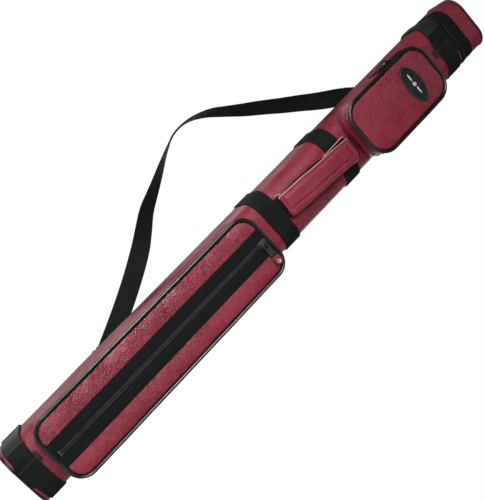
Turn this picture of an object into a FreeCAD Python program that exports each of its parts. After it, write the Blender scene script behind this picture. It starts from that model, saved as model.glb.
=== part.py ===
import FreeCAD, Part
import Sketcher
import math
import os

# Hard cue case for two butts and two shafts, standing upright, with a hinged lid, two front
# pockets, a carrying handle and a shoulder strap. The origin is the centre of the base and
# +Z runs up to the lid. -Y is the front, with the pockets; +Y is the back, with the hinge
# and strap; -X is the left seen from the front. Millimetres.

Vec = FreeCAD.Vector
Rot = FreeCAD.Rotation

# alias, value, note
DIMS = [
    # case section and layers
    ("case_w", 78.0, "outside width of the square section"),
    ("case_r", 22.0, "outside corner radius of the section"),
    ("case_len", 830.0, "overall length"),
    ("split_z", 788.0, "height of the lid's parting line"),
    ("skin_t", 1.2, "leather-look skin thickness"),
    ("shell_t", 2.0, "stiff shell thickness"),
    ("gap", 0.1, "fitting gap between layers"),
    ("rim_z", 3.1, "lower edge of the skin and shell"),
    ("shell_drop", 1.0, "body shell's top below the parting line"),
    ("cover_top", 784.0, "upper edge of the skin under the zip tape"),
    ("end_inset", 1.5, "end panels' inset from the outside of the section"),
    ("rim_cord_r", 1.3, "radius of the rim piping"),
    ("rim_cord_inset", 0.1, "rim piping centre line's inset from the section"),
    ("rim_cord_low", 0.4, "lowest point of the base piping"),
    # base and tubes
    ("cap_t", 2.5, "base end panel thickness"),
    ("cap_edge", 0.8, "base end panel chamfer"),
    ("board_t", 4.0, "base board thickness"),
    ("pad_t", 11.3, "base cushion thickness"),
    ("foam_top", 787.5, "foam face height"),
    ("butt_r", 18.0, "butt tube inside radius"),
    ("shaft_r", 12.8, "shaft tube inside radius"),
    ("butt_off", 16.0, "butt tube offset from the centre along X and Y"),
    ("shaft_off", 18.6, "shaft tube offset from the centre along X and Y"),
    ("tube_t", 0.5, "tube liner wall"),
    ("tube_top", 784.5, "tube liner top height"),
    ("mouth_edge", 0.8, "chamfer at the mouths of the foam bores"),
    # lid
    ("recess_deep", 30.0, "depth of the lid recesses"),
    ("lid_tape_top", 804.0, "upper edge of the lid zip tape"),
    ("lid_skin_top", 826.5, "upper edge of the lid skin"),
    ("lid_sink", 1.9, "top panel's underside below the lid skin's edge"),
    ("lid_shell_lift", 0.6, "lid shell's lower edge above the parting line"),
    ("lid_foam_lift", 0.5, "lid foam's face above the parting line"),
    ("crown_r", 1.6, "fillet round the top panel"),
    # neck zip and hinge
    ("teeth_out", 0.7, "how far the zip teeth stand out of the skin"),
    ("teeth_in", 0.8, "how far the zip teeth reach into the skin"),
    ("teeth_tall", 0.6, "height of one row of teeth"),
    ("hinge_w", 40.0, "width of the fabric hinge"),
    ("hinge_t", 0.9, "fabric hinge thickness"),
    ("hinge_side", 1.0, "clearance between hinge and teeth at each side"),
    ("hinge_clear", 0.4, "hinge clearance at the folding line and the neck band"),
    ("hinge_top", 0.5, "hinge's upper edge below the lid tape's top"),
    ("hinge_tab_w", 10.0, "width of the webbing tab on the hinge"),
    ("hinge_tab_t", 1.0, "thickness of the webbing tab on the hinge"),
    # webbing bands
    ("band_t", 1.7, "webbing band thickness"),
    ("neck_z", 754.0, "lower edge of the neck band"),
    ("neck_tall", 28.0, "width of the neck band"),
    ("neck_slot_w", 1.6, "gap between the neck band's ends"),
    ("base_z", 5.5, "lower edge of the base band"),
    ("base_tall", 23.0, "width of the base band"),
    ("base_slot_w", 2.2, "gap between the base band's ends"),
    ("base_slot_x", 10.0, "that gap's distance left of the centre"),
    ("tail_t", 1.3, "thickness of the band tails"),
    ("tail_inset", 0.6, "tail edge's inset from the band edge"),
    ("neck_tail_x", 24.5, "neck tail end's distance left of the centre"),
    ("base_tail_x", 31.0, "base tail end's distance left of the centre"),
    ("handle_upper_z", 534.0, "lower edge of the upper handle band"),
    ("handle_lower_z", 414.5, "lower edge of the lower handle band"),
    ("handle_tall", 25.0, "width of the handle bands"),
    ("keeper_clear", 0.2, "clearance between keepers and band edges"),
    ("neck_keeper_w", 13.0, "neck keeper width"),
    ("neck_keeper_low", 6.5, "neck keeper's lower edge below the band"),
    ("neck_keeper_t", 1.3, "neck keeper thickness"),
    ("neck_keeper_r", 1.5, "neck keeper corner radius"),
    ("keeper_w", 14.0, "base keeper tab width"),
    ("keeper_t", 1.5, "base keeper thickness"),
    ("keeper_up", 5.4, "base keeper's top above the band"),
    ("keeper_low", 2.1, "base keeper's lower edge below the band"),
    ("web_w", 1.4, "width of the web between the keeper's tabs"),
    ("web_up", 1.0, "web's top above the band"),
    ("web_low", 1.2, "web's lower end below the band"),
    # pockets; outlines are measured at the piping centre
    ("lower_w", 84.0, "lower pocket width"),
    ("lower_tall", 341.0, "lower pocket height"),
    ("lower_r", 20.0, "lower pocket corner radius"),
    ("lower_z", 219.5, "lower pocket centre height"),
    ("lower_front", 74.6, "lower pocket piping distance in front of the axis"),
    ("upper_w", 80.0, "upper pocket width"),
    ("upper_tall", 143.0, "upper pocket height"),
    ("upper_r", 18.0, "upper pocket corner radius"),
    ("upper_z", 645.5, "upper pocket centre height"),
    ("upper_front", 70.6, "upper pocket piping distance in front of the axis"),
    ("gusset_back", 24.0, "where the gussets end, in front of the axis"),
    ("gusset_out", 0.5, "gusset's outside beyond the piping centre"),
    ("gusset_t", 1.2, "pocket gusset thickness"),
    ("cord_r", 2.0, "pocket piping radius"),
    ("panel_t", 1.4, "pocket front panel thickness"),
    # lower pocket zip
    ("zip_w", 33.0, "width across both halves of the front zip tape"),
    ("tape_t", 0.8, "zip tape thickness"),
    ("tape_end", 1.0, "tape ends short of the panel ends"),
    ("coil_w", 2.2, "width of one coil row"),
    ("coil_t", 2.4, "coil row thickness"),
    ("coil_split", 0.4, "coil row's distance from the zip centre line"),
    ("coil_rear", 1.0, "coil's rear face behind the piping plane"),
    ("coil_low", 4.0, "coil's lower end above the panel's end"),
    ("coil_high", 2.0, "coil's upper end below the panel's end"),
    ("stop_w", 5.2, "zip stop width"),
    ("stop_tall", 2.8, "zip stop height"),
    ("stop_t", 2.8, "zip stop thickness"),
    ("stop_rear", 1.2, "stop's rear face behind the piping plane"),
    ("stop_r", 0.6, "zip stop corner radius"),
    # upper pocket zip and badge
    ("upper_zip_y", 56.5, "gusset zip centre line's distance in front of the axis"),
    ("upper_tape_low", 652.0, "lower end of the gusset zip"),
    ("upper_tape_w", 20.0, "gusset zip tape width"),
    ("upper_teeth_w", 4.8, "gusset zip teeth width"),
    ("upper_teeth_t", 1.1, "gusset zip teeth thickness"),
    ("badge_w", 54.0, "badge width"),
    ("badge_tall", 26.0, "badge height"),
    ("badge_z", 675.0, "badge centre height"),
    ("badge_t", 1.4, "badge thickness"),
    ("badge_edge", 0.5, "badge edge fillet"),
    # zip sliders and pulls
    ("slider_w", 8.6, "pocket slider plate width"),
    ("slider_tall", 13.0, "pocket slider plate height"),
    ("slider_r", 2.5, "pocket slider plate corner radius"),
    ("bridge_w", 2.8, "pocket slider bridge width"),
    ("bridge_tall", 7.0, "pocket slider bridge height"),
    ("bridge_front", 4.8, "lower slider bridge's reach ahead of the piping plane"),
    ("lower_slider_z", 380.5, "lower slider height"),
    ("upper_slider_z", 674.0, "upper slider height"),
    ("lid_slider_y", 13.0, "lid slider's distance behind the axis"),
    ("slider_clear", 0.3, "clearance between side sliders and teeth"),
    ("pull_clear", 0.4, "clearance between a bridge and its pull"),
    ("pull_t", 1.2, "pull thickness"),
    ("pull_w", 6.4, "side pull width"),
    ("pull_len", 21.0, "side pull length"),
    ("pull_r", 2.2, "side pull corner radius"),
    ("pull_drop", 11.5, "side pull centre below its slider"),
    ("front_pull_start", 2.4, "left end of the lower pull"),
    ("front_pull_end", 20.0, "right end of the lower pull"),
    ("front_pull_w", 6.8, "lower pull width"),
    ("front_pull_r", 1.2, "lower pull corner radius"),
    ("tip_end", 33.0, "right end of the pull tip"),
    ("tip_w", 10.4, "pull tip width"),
    ("tip_t", 1.9, "pull tip thickness"),
    ("tip_r", 4.2, "pull tip corner radius"),
    ("tip_rear", 4.9, "pull tip's rear face ahead of the piping plane"),
    ("eyelet_x", 28.4, "eyelet centre"),
    ("eyelet_out_r", 2.3, "eyelet outside radius"),
    ("eyelet_in_r", 1.1, "eyelet inside radius"),
    ("eyelet_t", 0.5, "eyelet thickness"),
    # handle
    ("grip_w", 31.0, "handle grip width"),
    ("grip_t", 11.0, "handle grip thickness"),
    ("grip_r", 4.6, "handle grip corner radius"),
    ("grip_len", 122.0, "handle grip length"),
    ("grip_y", 49.0, "handle grip centre distance in front of the axis"),
    ("grip_z", 502.0, "handle grip centre height"),
    ("grip_lean", 4.7, "handle grip lean in degrees"),
    ("core_w", 25.0, "handle webbing width"),
    ("core_t", 1.8, "handle webbing thickness"),
    ("core_r", 0.7, "handle webbing corner radius"),
    ("core_len", 136.0, "handle webbing length"),
    ("slack_w", 1.4, "grip opening's extra width over the webbing"),
    ("slack_t", 1.0, "grip opening's extra thickness over the webbing"),
    ("opening_r", 1.2, "grip opening corner radius"),
    ("tab_upper_x", 4.5, "upper handle tab's distance right of the centre"),
    ("tab_lower_x", 5.0, "lower handle tab's distance left of the centre"),
    ("tab_inset", 2.0, "handle tab's inset from the band edges"),
    ("tab_t", 1.4, "handle tab thickness"),
    ("tab_r", 1.0, "handle tab corner radius"),
    # shoulder strap
    ("strap_w", 25.0, "shoulder strap width"),
    ("strap_t", 1.8, "shoulder strap thickness"),
    ("ring_y", 43.0, "D-ring pivot distance behind the axis"),
    ("ring_upper_z", 690.0, "upper D-ring height"),
    ("ring_lower_z", 125.0, "lower D-ring height"),
    ("ring_wire", 1.8, "D-ring wire radius"),
    ("ring_half", 17.0, "D-ring half height"),
    ("ring_c", 3.0, "D-ring corner radius"),
    ("chape_len", 24.0, "chape width along the ring bar"),
    ("chape_w", 36.0, "chape length across the back"),
    ("chape_t", 1.3, "chape webbing thickness"),
    ("chape_bore", 2.1, "chape loop inside radius"),
    ("frame_rim", 6.0, "adjuster's extra width over the strap"),
    ("frame_tall", 16.0, "adjuster height"),
    ("frame_t", 4.6, "adjuster thickness"),
    ("frame_r", 3.0, "adjuster corner radius"),
    ("slot_side", 0.8, "adjuster opening beyond each strap edge"),
    ("slot_face", 0.3, "adjuster slot beyond each strap face"),
    ("window_low", 1.8, "adjuster window's inner edge from the centre"),
    ("window_high", 5.2, "adjuster window's outer edge from the centre"),
]
THROUGH = 900.0   # total length of a symmetric cut, longer than any piece it is used on
EDGE_TOL = 0.01   # tolerance when edges are picked by position

doc = FreeCAD.newDocument("cue_case")
sheet = doc.addObject("Spreadsheet::Sheet", "Dims")
for row, (alias, value, note) in enumerate(DIMS, start=1):
    sheet.set("A%d" % row, alias)
    sheet.set("B%d" % row, repr(value))
    sheet.setAlias("B%d" % row, alias)
    sheet.set("C%d" % row, note)
doc.recompute()
SUBPARTS = []


# ---- helpers; sizes and places are passed as expressions on the sheet ----------
def val(text):
    """Number that an expression gives now."""
    result = sheet.evalExpression(text.replace("Dims.", ""))
    return float(getattr(result, "Value", result))


def bind(target, prop, text):
    if "Dims" in text:
        target.setExpression(prop, text)


def around(width, centre="0"):
    """Span of the given width about a centre."""
    return f"{centre} - ({width}) / 2", f"{centre} + ({width}) / 2"


def body(label, x="0", y="0", z="0"):
    owner = doc.addObject("PartDesign::Body", label)
    owner.Label = label
    if hasattr(owner, "AllowCompound"):
        owner.AllowCompound = True
    owner.Placement = FreeCAD.Placement(Vec(val(x), val(y), val(z)), Rot())
    for axis, text in (("x", x), ("y", y), ("z", z)):
        bind(owner, "Placement.Base." + axis, text)
    SUBPARTS.append(owner)
    return owner


def origin_plane(owner, role):
    return [o for o in owner.Origin.OriginFeatures if o.Role == role][0]


def sketch(owner, role, name, shift_y=None):
    sk = owner.newObject("Sketcher::SketchObject", owner.Label + "_" + name)
    sk.AttachmentSupport = [(origin_plane(owner, role), "")]
    sk.MapMode = "FlatFace"
    if shift_y:
        sk.AttachmentOffset = FreeCAD.Placement(Vec(0, val(shift_y), 0), Rot())
        bind(sk, "AttachmentOffset.Base.y", shift_y)
    return sk


def datum(sk, kind, args, text):
    """Driving constraint bound to the sheet."""
    index = sk.addConstraint(Sketcher.Constraint(kind, *args, val(text)))
    name = "d%d" % index
    sk.renameConstraint(index, name)
    bind(sk, "Constraints." + name, text)


def place(sk, kind, point, text):
    """Distance from the origin to a point, whichever side it lies on."""
    if val(text) >= 0:
        datum(sk, kind, (-1, 1) + point, text)
    else:
        datum(sk, kind, point + (-1, 1), "-(%s)" % text)


def line(x_start, y_start, x_end, y_end):
    return Part.LineSegment(Vec(x_start, y_start, 0), Vec(x_end, y_end, 0))


def arc(x, y, radius, start, end):
    """Arc between two angles in degrees."""
    full = Part.Circle(Vec(x, y, 0), Vec(0, 0, 1), radius)
    return Part.ArcOfCircle(full, math.radians(start), math.radians(end))


def rounded(sk, width, height, radius, grow="0"):
    """Rounded rectangle about the sketch origin, offset outwards by grow."""
    width = f"({width}) + 2 * ({grow})"
    height = f"({height}) + 2 * ({grow})"
    radius = f"({radius}) + ({grow})"
    a, b, c = val(width) / 2, val(height) / 2, val(radius)
    geo = list(sk.addGeometry([
        line(a, -b + c, a, b - c), arc(a - c, b - c, c, 0, 90),
        line(a - c, b, -a + c, b), arc(-a + c, b - c, c, 90, 180),
        line(-a, b - c, -a, -b + c), arc(-a + c, -b + c, c, 180, 270),
        line(-a + c, -b, a - c, -b), arc(a - c, -b + c, c, 270, 360)], False))
    for i in range(8):
        sk.addConstraint(Sketcher.Constraint("Tangent", geo[i], 2, geo[(i + 1) % 8], 1))
    for i in (0, 4):
        sk.addConstraint(Sketcher.Constraint("Vertical", geo[i]))
    for i in (2, 6):
        sk.addConstraint(Sketcher.Constraint("Horizontal", geo[i]))
    for i in (3, 5, 7):
        sk.addConstraint(Sketcher.Constraint("Equal", geo[1], geo[i]))
    datum(sk, "Radius", (geo[1],), radius)
    datum(sk, "DistanceX", (-1, 1, geo[0], 1), f"({width}) / 2")
    datum(sk, "DistanceX", (geo[4], 1, -1, 1), f"({width}) / 2")
    datum(sk, "DistanceY", (-1, 1, geo[2], 1), f"({height}) / 2")
    datum(sk, "DistanceY", (geo[6], 1, -1, 1), f"({height}) / 2")


def box(sk, x_span, y_span):
    """Plain rectangle over two spans."""
    (a, c), (b, d) = map(val, x_span), map(val, y_span)
    sides = [line(a, b, c, b), line(c, b, c, d), line(c, d, a, d), line(a, d, a, b)]
    geo = list(sk.addGeometry(sides, False))
    for i in range(4):
        sk.addConstraint(Sketcher.Constraint("Coincident", geo[i], 2, geo[(i + 1) % 4], 1))
    for i in (0, 2):
        sk.addConstraint(Sketcher.Constraint("Horizontal", geo[i]))
    for i in (1, 3):
        sk.addConstraint(Sketcher.Constraint("Vertical", geo[i]))
    place(sk, "DistanceX", (geo[0], 1), x_span[0])
    place(sk, "DistanceX", (geo[0], 2), x_span[1])
    place(sk, "DistanceY", (geo[0], 1), y_span[0])
    place(sk, "DistanceY", (geo[2], 1), y_span[1])


def circle(sk, x, y, radius):
    geo = sk.addGeometry(Part.Circle(Vec(val(x), val(y), 0), Vec(0, 0, 1), val(radius)), False)
    datum(sk, "Radius", (geo,), radius)
    place(sk, "DistanceX", (geo, 3), x)
    place(sk, "DistanceY", (geo, 3), y)


def make_symmetric(feature):
    # the property that sets this depends on the FreeCAD version
    if hasattr(feature, "SideType"):
        feature.SideType = "Symmetric"
    else:
        feature.Midplane = True


def pad(owner, sk, length, name="pad", back=False, symmetric=False):
    feature = owner.newObject("PartDesign::Pad", owner.Label + "_" + name)
    feature.Profile = sk
    feature.Length = val(length)
    bind(feature, "Length", length)
    feature.Reversed = back
    if symmetric:
        make_symmetric(feature)
    sk.Visibility = False
    return feature


def cut(owner, sk, name, depth=None):
    """Pocket right through, or to a depth along the sketch normal; it must remove material."""
    doc.recompute()
    before = owner.Shape.Volume
    feature = owner.newObject("PartDesign::Pocket", owner.Label + "_" + name)
    feature.Profile = sk
    if depth:
        feature.Length = val(depth)
        bind(feature, "Length", depth)
        feature.Reversed = True
    else:
        feature.Length = THROUGH
        make_symmetric(feature)
    doc.recompute()
    if not owner.Shape.Volume < before - 0.5:
        raise RuntimeError("%s %s removed nothing" % (owner.Label, name))


def flat_at(axis, level):
    """Edge test: the whole edge lies at one level of the axis."""
    return lambda edge: all(abs(getattr(edge.BoundBox, axis + end) - level) < EDGE_TOL
                            for end in ("Min", "Max"))


def soften(owner, base, kind, size, pick, name):
    """Fillet or chamfer on the edges that pick() accepts."""
    doc.recompute()
    names = ["Edge%d" % i for i, edge in enumerate(base.Shape.Edges, start=1) if pick(edge)]
    feature = owner.newObject("PartDesign::" + kind, owner.Label + "_" + name)
    feature.Base = (base, names)
    prop = "Radius" if kind == "Fillet" else "Size"
    setattr(feature, prop, val(size))
    bind(feature, prop, size)


def sweep(owner, path, profile):
    doc.recompute()
    feature = owner.newObject("PartDesign::AdditivePipe", owner.Label + "_sweep")
    feature.Profile = profile
    feature.Spine = (path, ["Edge%d" % (i + 1) for i in range(len(path.Shape.Edges))])
    path.Visibility = profile.Visibility = False


def case_outline(sk, offset):
    """Outline of the case section, offset outwards."""
    rounded(sk, "Dims.case_w", "Dims.case_w", "Dims.case_r", offset)


def case_ring(label, low, high, outer, inner):
    """Wall between two offsets of the case section."""
    owner = body(label, z=low)
    sk = sketch(owner, "XY_Plane", "section")
    case_outline(sk, outer)
    case_outline(sk, inner)
    pad(owner, sk, f"{high} - ({low})")
    return owner


def case_slab(label, low, high, offset):
    """Solid block with the offset case section."""
    owner = body(label, z=low)
    sk = sketch(owner, "XY_Plane", "outline")
    case_outline(sk, offset)
    return owner, pad(owner, sk, f"{high} - ({low})")


def plate(label, x_span, z_span, rear_y, thick, radius=None):
    """Flat upright piece parallel to XZ, thickness towards -Y from rear_y."""
    owner = body(label, x="(%s + %s) / 2" % x_span, y=rear_y, z="(%s + %s) / 2" % z_span)
    sk = sketch(owner, "XZ_Plane", "outline")
    width = f"{x_span[1]} - ({x_span[0]})"
    height = f"{z_span[1]} - ({z_span[0]})"
    if radius:
        rounded(sk, width, height, radius)
    else:
        box(sk, around(width), around(height))
    pad(owner, sk, thick)


def cord(label, role, width, height, radius, wire, y="0", z="0"):
    """Round piping swept along a rounded rectangle."""
    owner = body(label, y=y, z=z)
    path = sketch(owner, role, "path")
    rounded(path, width, height, radius)
    profile = sketch(owner, "YZ_Plane", "profile")
    # the path crosses the plane x = 0 half its height away from the centre
    half = f"({height}) / 2"
    if role == "XY_Plane":
        circle(profile, half, "0", wire)
    else:
        circle(profile, "0", half, wire)
    sweep(owner, path, profile)


# ---- case body -------------------------------------------------------------
# offsets of the layers from the outside of the section
SKIN_IN = "-Dims.skin_t"
SHELL_OUT = SKIN_IN + " - Dims.gap"
SHELL_IN = SHELL_OUT + " - Dims.shell_t"
FILLING = SHELL_IN + " - Dims.gap"
# stacked heights inside the base
BOARD_Z = "Dims.cap_t + Dims.gap"
CUSHION_Z = BOARD_Z + " + Dims.board_t + Dims.gap"
FOAM_Z = CUSHION_Z + " + Dims.pad_t + Dims.gap"
TUBE_Z = FOAM_Z + " + Dims.gap"
# x, y, inside radius of the tubes
BORES = [
    ("-Dims.butt_off", "Dims.butt_off", "Dims.butt_r"),
    ("Dims.butt_off", "-Dims.butt_off", "Dims.butt_r"),
    ("Dims.shaft_off", "Dims.shaft_off", "Dims.shaft_r"),
    ("-Dims.shaft_off", "-Dims.shaft_off", "Dims.shaft_r"),
]

case_ring("body_cover", "Dims.rim_z", "Dims.cover_top", "0", SKIN_IN)
case_ring("body_shell", "Dims.rim_z", "Dims.split_z - Dims.shell_drop", SHELL_OUT, SHELL_IN)

cap, block = case_slab("base_cap", "0", "Dims.cap_t", "-Dims.end_inset")
soften(cap, block, "Chamfer", "Dims.cap_edge", flat_at("Z", 0.0), "edge")
case_slab("base_board", BOARD_Z, BOARD_Z + " + Dims.board_t", FILLING)
case_slab("base_pad", CUSHION_Z, CUSHION_Z + " + Dims.pad_t", FILLING)


def foam_insert():
    """Foam filling with four chamfered bores for the tubes."""
    foam = body("foam_insert", z=FOAM_Z)
    sk = sketch(foam, "XY_Plane", "section")
    case_outline(sk, FILLING)
    for x, y, radius in BORES:
        circle(sk, x, y, radius + " + Dims.tube_t + Dims.gap")
    block = pad(foam, sk, f"Dims.foam_top - ({FOAM_Z})")
    on_top = flat_at("Z", block.Length.Value)
    soften(foam, block, "Chamfer", "Dims.mouth_edge",
           lambda edge: on_top(edge) and hasattr(edge.Curve, "Radius") and edge.Closed,
           "bore_mouths")


def cue_tubes():
    """Four tube liners."""
    tubes = body("cue_tubes", z=TUBE_Z)
    sk = sketch(tubes, "XY_Plane", "section")
    for x, y, radius in BORES:
        circle(sk, x, y, radius + " + Dims.tube_t")
        circle(sk, x, y, radius)
    pad(tubes, sk, f"Dims.tube_top - ({TUBE_Z})")


def rim_piping(label, low):
    width = "Dims.case_w - 2 * Dims.rim_cord_inset"
    cord(label, "XY_Plane", width, width, "Dims.case_r", "Dims.rim_cord_r",
         z=low + " + Dims.rim_cord_r")


foam_insert()
cue_tubes()
rim_piping("base_piping", "Dims.rim_cord_low")

# ---- zip closure and lid -------------------------------------------------------
TAPE_GAP = "(Dims.teeth_tall + 2 * Dims.gap)"
LID_PANEL_Z = "Dims.lid_skin_top - Dims.lid_sink"


def teeth_ring(label, low):
    """Row of teeth round the section, open at the hinge."""
    teeth = case_ring(label, low, low + " + Dims.teeth_tall", "Dims.teeth_out", "-Dims.teeth_in")
    sk = sketch(teeth, "XY_Plane", "hinge_gap")
    box(sk, around("Dims.hinge_w + 2 * Dims.hinge_side"), ("Dims.case_w / 4", "Dims.case_w"))
    cut(teeth, sk, "hinge_opening")


def lid_foam():
    """Lid filling with a recess over each tube."""
    foam, _ = case_slab("lid_foam", "Dims.split_z + Dims.lid_foam_lift",
                        LID_PANEL_Z + " - 2 * Dims.gap", FILLING)
    sk = sketch(foam, "XY_Plane", "recesses")
    for x, y, radius in BORES:
        circle(sk, x, y, radius + " + Dims.tube_t")
    cut(foam, sk, "recess", depth="Dims.recess_deep")


case_ring("neck_zip_tape", "Dims.cover_top + Dims.gap", f"Dims.split_z - {TAPE_GAP}",
          "0", SKIN_IN)
teeth_ring("neck_zip_teeth", "Dims.split_z - Dims.gap - Dims.teeth_tall")
teeth_ring("lid_zip_teeth", "Dims.split_z + Dims.gap")
case_ring("lid_zip_tape", f"Dims.split_z + {TAPE_GAP}", "Dims.lid_tape_top - Dims.gap",
          "0", SKIN_IN)
case_ring("lid_cover", "Dims.lid_tape_top", "Dims.lid_skin_top", "0", SKIN_IN)
case_ring("lid_shell", "Dims.split_z + Dims.lid_shell_lift", LID_PANEL_Z + " - Dims.gap",
          SHELL_OUT, SHELL_IN)
lid_foam()
top, block = case_slab("lid_top_panel", LID_PANEL_Z, "Dims.case_len", "-Dims.end_inset")
soften(top, block, "Fillet", "Dims.crown_r", flat_at("Z", block.Length.Value), "crown")
rim_piping("lid_piping", "Dims.lid_skin_top + Dims.gap")

# ---- fabric hinge across the back, split at the folding line --------------------
HINGE_Y = "Dims.case_w / 2 + Dims.gap + Dims.hinge_t"
HINGE_LOWER = ("Dims.neck_z + Dims.neck_tall + Dims.hinge_clear",
               "Dims.split_z - Dims.hinge_clear")
HINGE_UPPER = ("Dims.split_z + Dims.hinge_clear", "Dims.lid_tape_top - Dims.hinge_top")
plate("hinge_panel_lower", around("Dims.hinge_w"), HINGE_LOWER, HINGE_Y, "Dims.hinge_t")
plate("hinge_panel_upper", around("Dims.hinge_w"), HINGE_UPPER, HINGE_Y, "Dims.hinge_t")
plate("hinge_tab", around("Dims.hinge_tab_w"), HINGE_LOWER,
      HINGE_Y + " + Dims.gap + Dims.hinge_tab_t", "Dims.hinge_tab_t")

# ---- webbing bands round the case ---------------------------------------------
BAND_OUT = "Dims.gap + Dims.band_t"
TAIL_IN = BAND_OUT + " + Dims.gap"
CASE_FRONT = "-Dims.case_w / 2 - Dims.gap"


def band(label, low, height, slot=None):
    """Band round the case; slot is the x span of a gap in its front."""
    owner = case_ring(label, low, f"{low} + {height}", BAND_OUT, "Dims.gap")
    if slot:
        sk = sketch(owner, "XY_Plane", "meeting_gap")
        box(sk, slot, ("-Dims.case_w", "-Dims.case_w / 4"))
        cut(owner, sk, "gap_cut")


def band_tail(label, low, height, end_x):
    """Second layer over a band, round the left side of the case up to end_x."""
    owner = case_ring(label, f"{low} + Dims.tail_inset", f"{low} + {height} - Dims.tail_inset",
                      TAIL_IN + " + Dims.tail_t", TAIL_IN)
    sk = sketch(owner, "XY_Plane", "tail_end")
    box(sk, (end_x, "Dims.case_w"), ("-Dims.case_w", "Dims.case_w"))
    cut(owner, sk, "trim")


def base_keeper():
    """Keeper with a tab above and below the base band and a web through its gap."""
    keeper = body("base_keeper", x="-Dims.base_slot_x", y=CASE_FRONT, z="Dims.base_z")
    sk = sketch(keeper, "XZ_Plane", "upper_tab")
    box(sk, around("Dims.keeper_w"),
        ("Dims.base_tall + Dims.keeper_clear", "Dims.base_tall + Dims.keeper_up"))
    pad(keeper, sk, "Dims.keeper_t", "upper")
    sk = sketch(keeper, "XZ_Plane", "web")
    box(sk, around("Dims.web_w"), ("-Dims.web_low", "Dims.base_tall + Dims.web_up"))
    pad(keeper, sk, "Dims.keeper_t", "web_pad")
    sk = sketch(keeper, "XZ_Plane", "lower_tab")
    box(sk, around("Dims.keeper_w"), ("-Dims.keeper_low", "-Dims.keeper_clear"))
    pad(keeper, sk, "Dims.keeper_t", "lower")


band("neck_band", "Dims.neck_z", "Dims.neck_tall", around("Dims.neck_slot_w"))
band_tail("neck_band_tail", "Dims.neck_z", "Dims.neck_tall", "-Dims.neck_tail_x")
plate("neck_keeper", around("Dims.neck_keeper_w"),
      ("Dims.neck_z - Dims.neck_keeper_low", "Dims.neck_z - Dims.keeper_clear"),
      CASE_FRONT, "Dims.neck_keeper_t", "Dims.neck_keeper_r")
band("base_band", "Dims.base_z", "Dims.base_tall",
     around("Dims.base_slot_w", "-Dims.base_slot_x"))
band_tail("base_band_tail", "Dims.base_z", "Dims.base_tall", "-Dims.base_tail_x")
base_keeper()
for side in ("upper", "lower"):
    band("handle_band_" + side, f"Dims.handle_{side}_z", "Dims.handle_tall")

# ---- pockets ---------------------------------------------------------------
PANEL_EDGE = "-Dims.cord_r - Dims.gap"   # panel edge's offset from the piping centre
PANEL_HALF = "(Dims.lower_tall / 2 - Dims.cord_r - Dims.gap)"


def pocket_outline(sk, pocket, offset):
    """Piping centre line of the lower or upper pocket, offset outwards."""
    rounded(sk, f"Dims.{pocket}_w", f"Dims.{pocket}_tall", f"Dims.{pocket}_r", offset)


def pocket_gusset(pocket):
    """Wall round the pocket, fitted to the case."""
    owner = body(pocket + "_pocket_gusset", y="-Dims.gusset_back", z=f"Dims.{pocket}_z")
    sk = sketch(owner, "XZ_Plane", "wall")
    pocket_outline(sk, pocket, "Dims.gusset_out")
    pocket_outline(sk, pocket, "Dims.gusset_out - Dims.gusset_t")
    pad(owner, sk, f"Dims.{pocket}_front - Dims.cord_r - Dims.gap - Dims.gusset_back")
    # saddle cut, so that the wall's top and bottom sit on the case front
    sk = sketch(owner, "XY_Plane", "saddle", shift_y="Dims.gusset_back")
    case_outline(sk, "Dims.gap")
    cut(owner, sk, "saddle_cut")


def pocket_panel(label, pocket, trim=None):
    """Front panel inside the piping; trim is the x span cut away."""
    owner = body(label, y=f"-Dims.{pocket}_front + Dims.panel_t / 2", z=f"Dims.{pocket}_z")
    sk = sketch(owner, "XZ_Plane", "outline")
    pocket_outline(sk, pocket, PANEL_EDGE)
    pad(owner, sk, "Dims.panel_t")
    if trim:
        sk = sketch(owner, "XZ_Plane", "trim")
        box(sk, trim, ("-Dims.lower_tall", "Dims.lower_tall"))
        cut(owner, sk, "zip_opening")


def lower_zip_strips(label, name, rear_y, x_near, x_far, z_span, thick):
    """Two upright strips, one each side of the zip centre line."""
    owner = body(label, y=rear_y, z="Dims.lower_z")
    sk = sketch(owner, "XZ_Plane", name)
    box(sk, (f"-({x_far})", f"-({x_near})"), z_span)
    box(sk, (x_near, x_far), z_span)
    pad(owner, sk, thick)


def gusset_run(label, width, inner, thick):
    """Strip up one side of the upper pocket's gusset, over its top and down the other."""
    owner = body(label, y=f"-Dims.upper_zip_y + {width} / 2", z="Dims.upper_z")
    sk = sketch(owner, "XZ_Plane", "strip")
    pocket_outline(sk, "upper", f"{inner} + {thick}")
    pocket_outline(sk, "upper", inner)
    pad(owner, sk, width)
    sk = sketch(owner, "XZ_Plane", "ends")
    box(sk, ("-Dims.upper_w", "Dims.upper_w"),
        ("-Dims.upper_tall", "Dims.upper_tape_low - Dims.upper_z"))
    cut(owner, sk, "end_cut")


def badge_plate():
    """Oval badge on the upper pocket panel."""
    badge = body("badge_plate", y="-Dims.upper_front - Dims.panel_t / 2 - Dims.gap",
                 z="Dims.badge_z")
    sk = sketch(badge, "XZ_Plane", "oval")
    half_w, half_tall = val("Dims.badge_w") / 2, val("Dims.badge_tall") / 2
    oval = sk.addGeometry(Part.Ellipse(Vec(0, 0, 0), half_w, half_tall), False)
    sk.exposeInternalGeometry(oval)
    sk.addConstraint(Sketcher.Constraint("Coincident", oval, 3, -1, 1))
    major, minor = [i for i, item in enumerate(sk.Geometry)
                    if isinstance(item, Part.LineSegment)][:2]
    sk.addConstraint(Sketcher.Constraint("Horizontal", major))
    datum(sk, "Distance", (major,), "Dims.badge_w")
    datum(sk, "Distance", (minor,), "Dims.badge_tall")
    block = pad(badge, sk, "Dims.badge_t")
    soften(badge, block, "Fillet", "Dims.badge_edge", flat_at("Y", -block.Length.Value), "rim")


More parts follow.
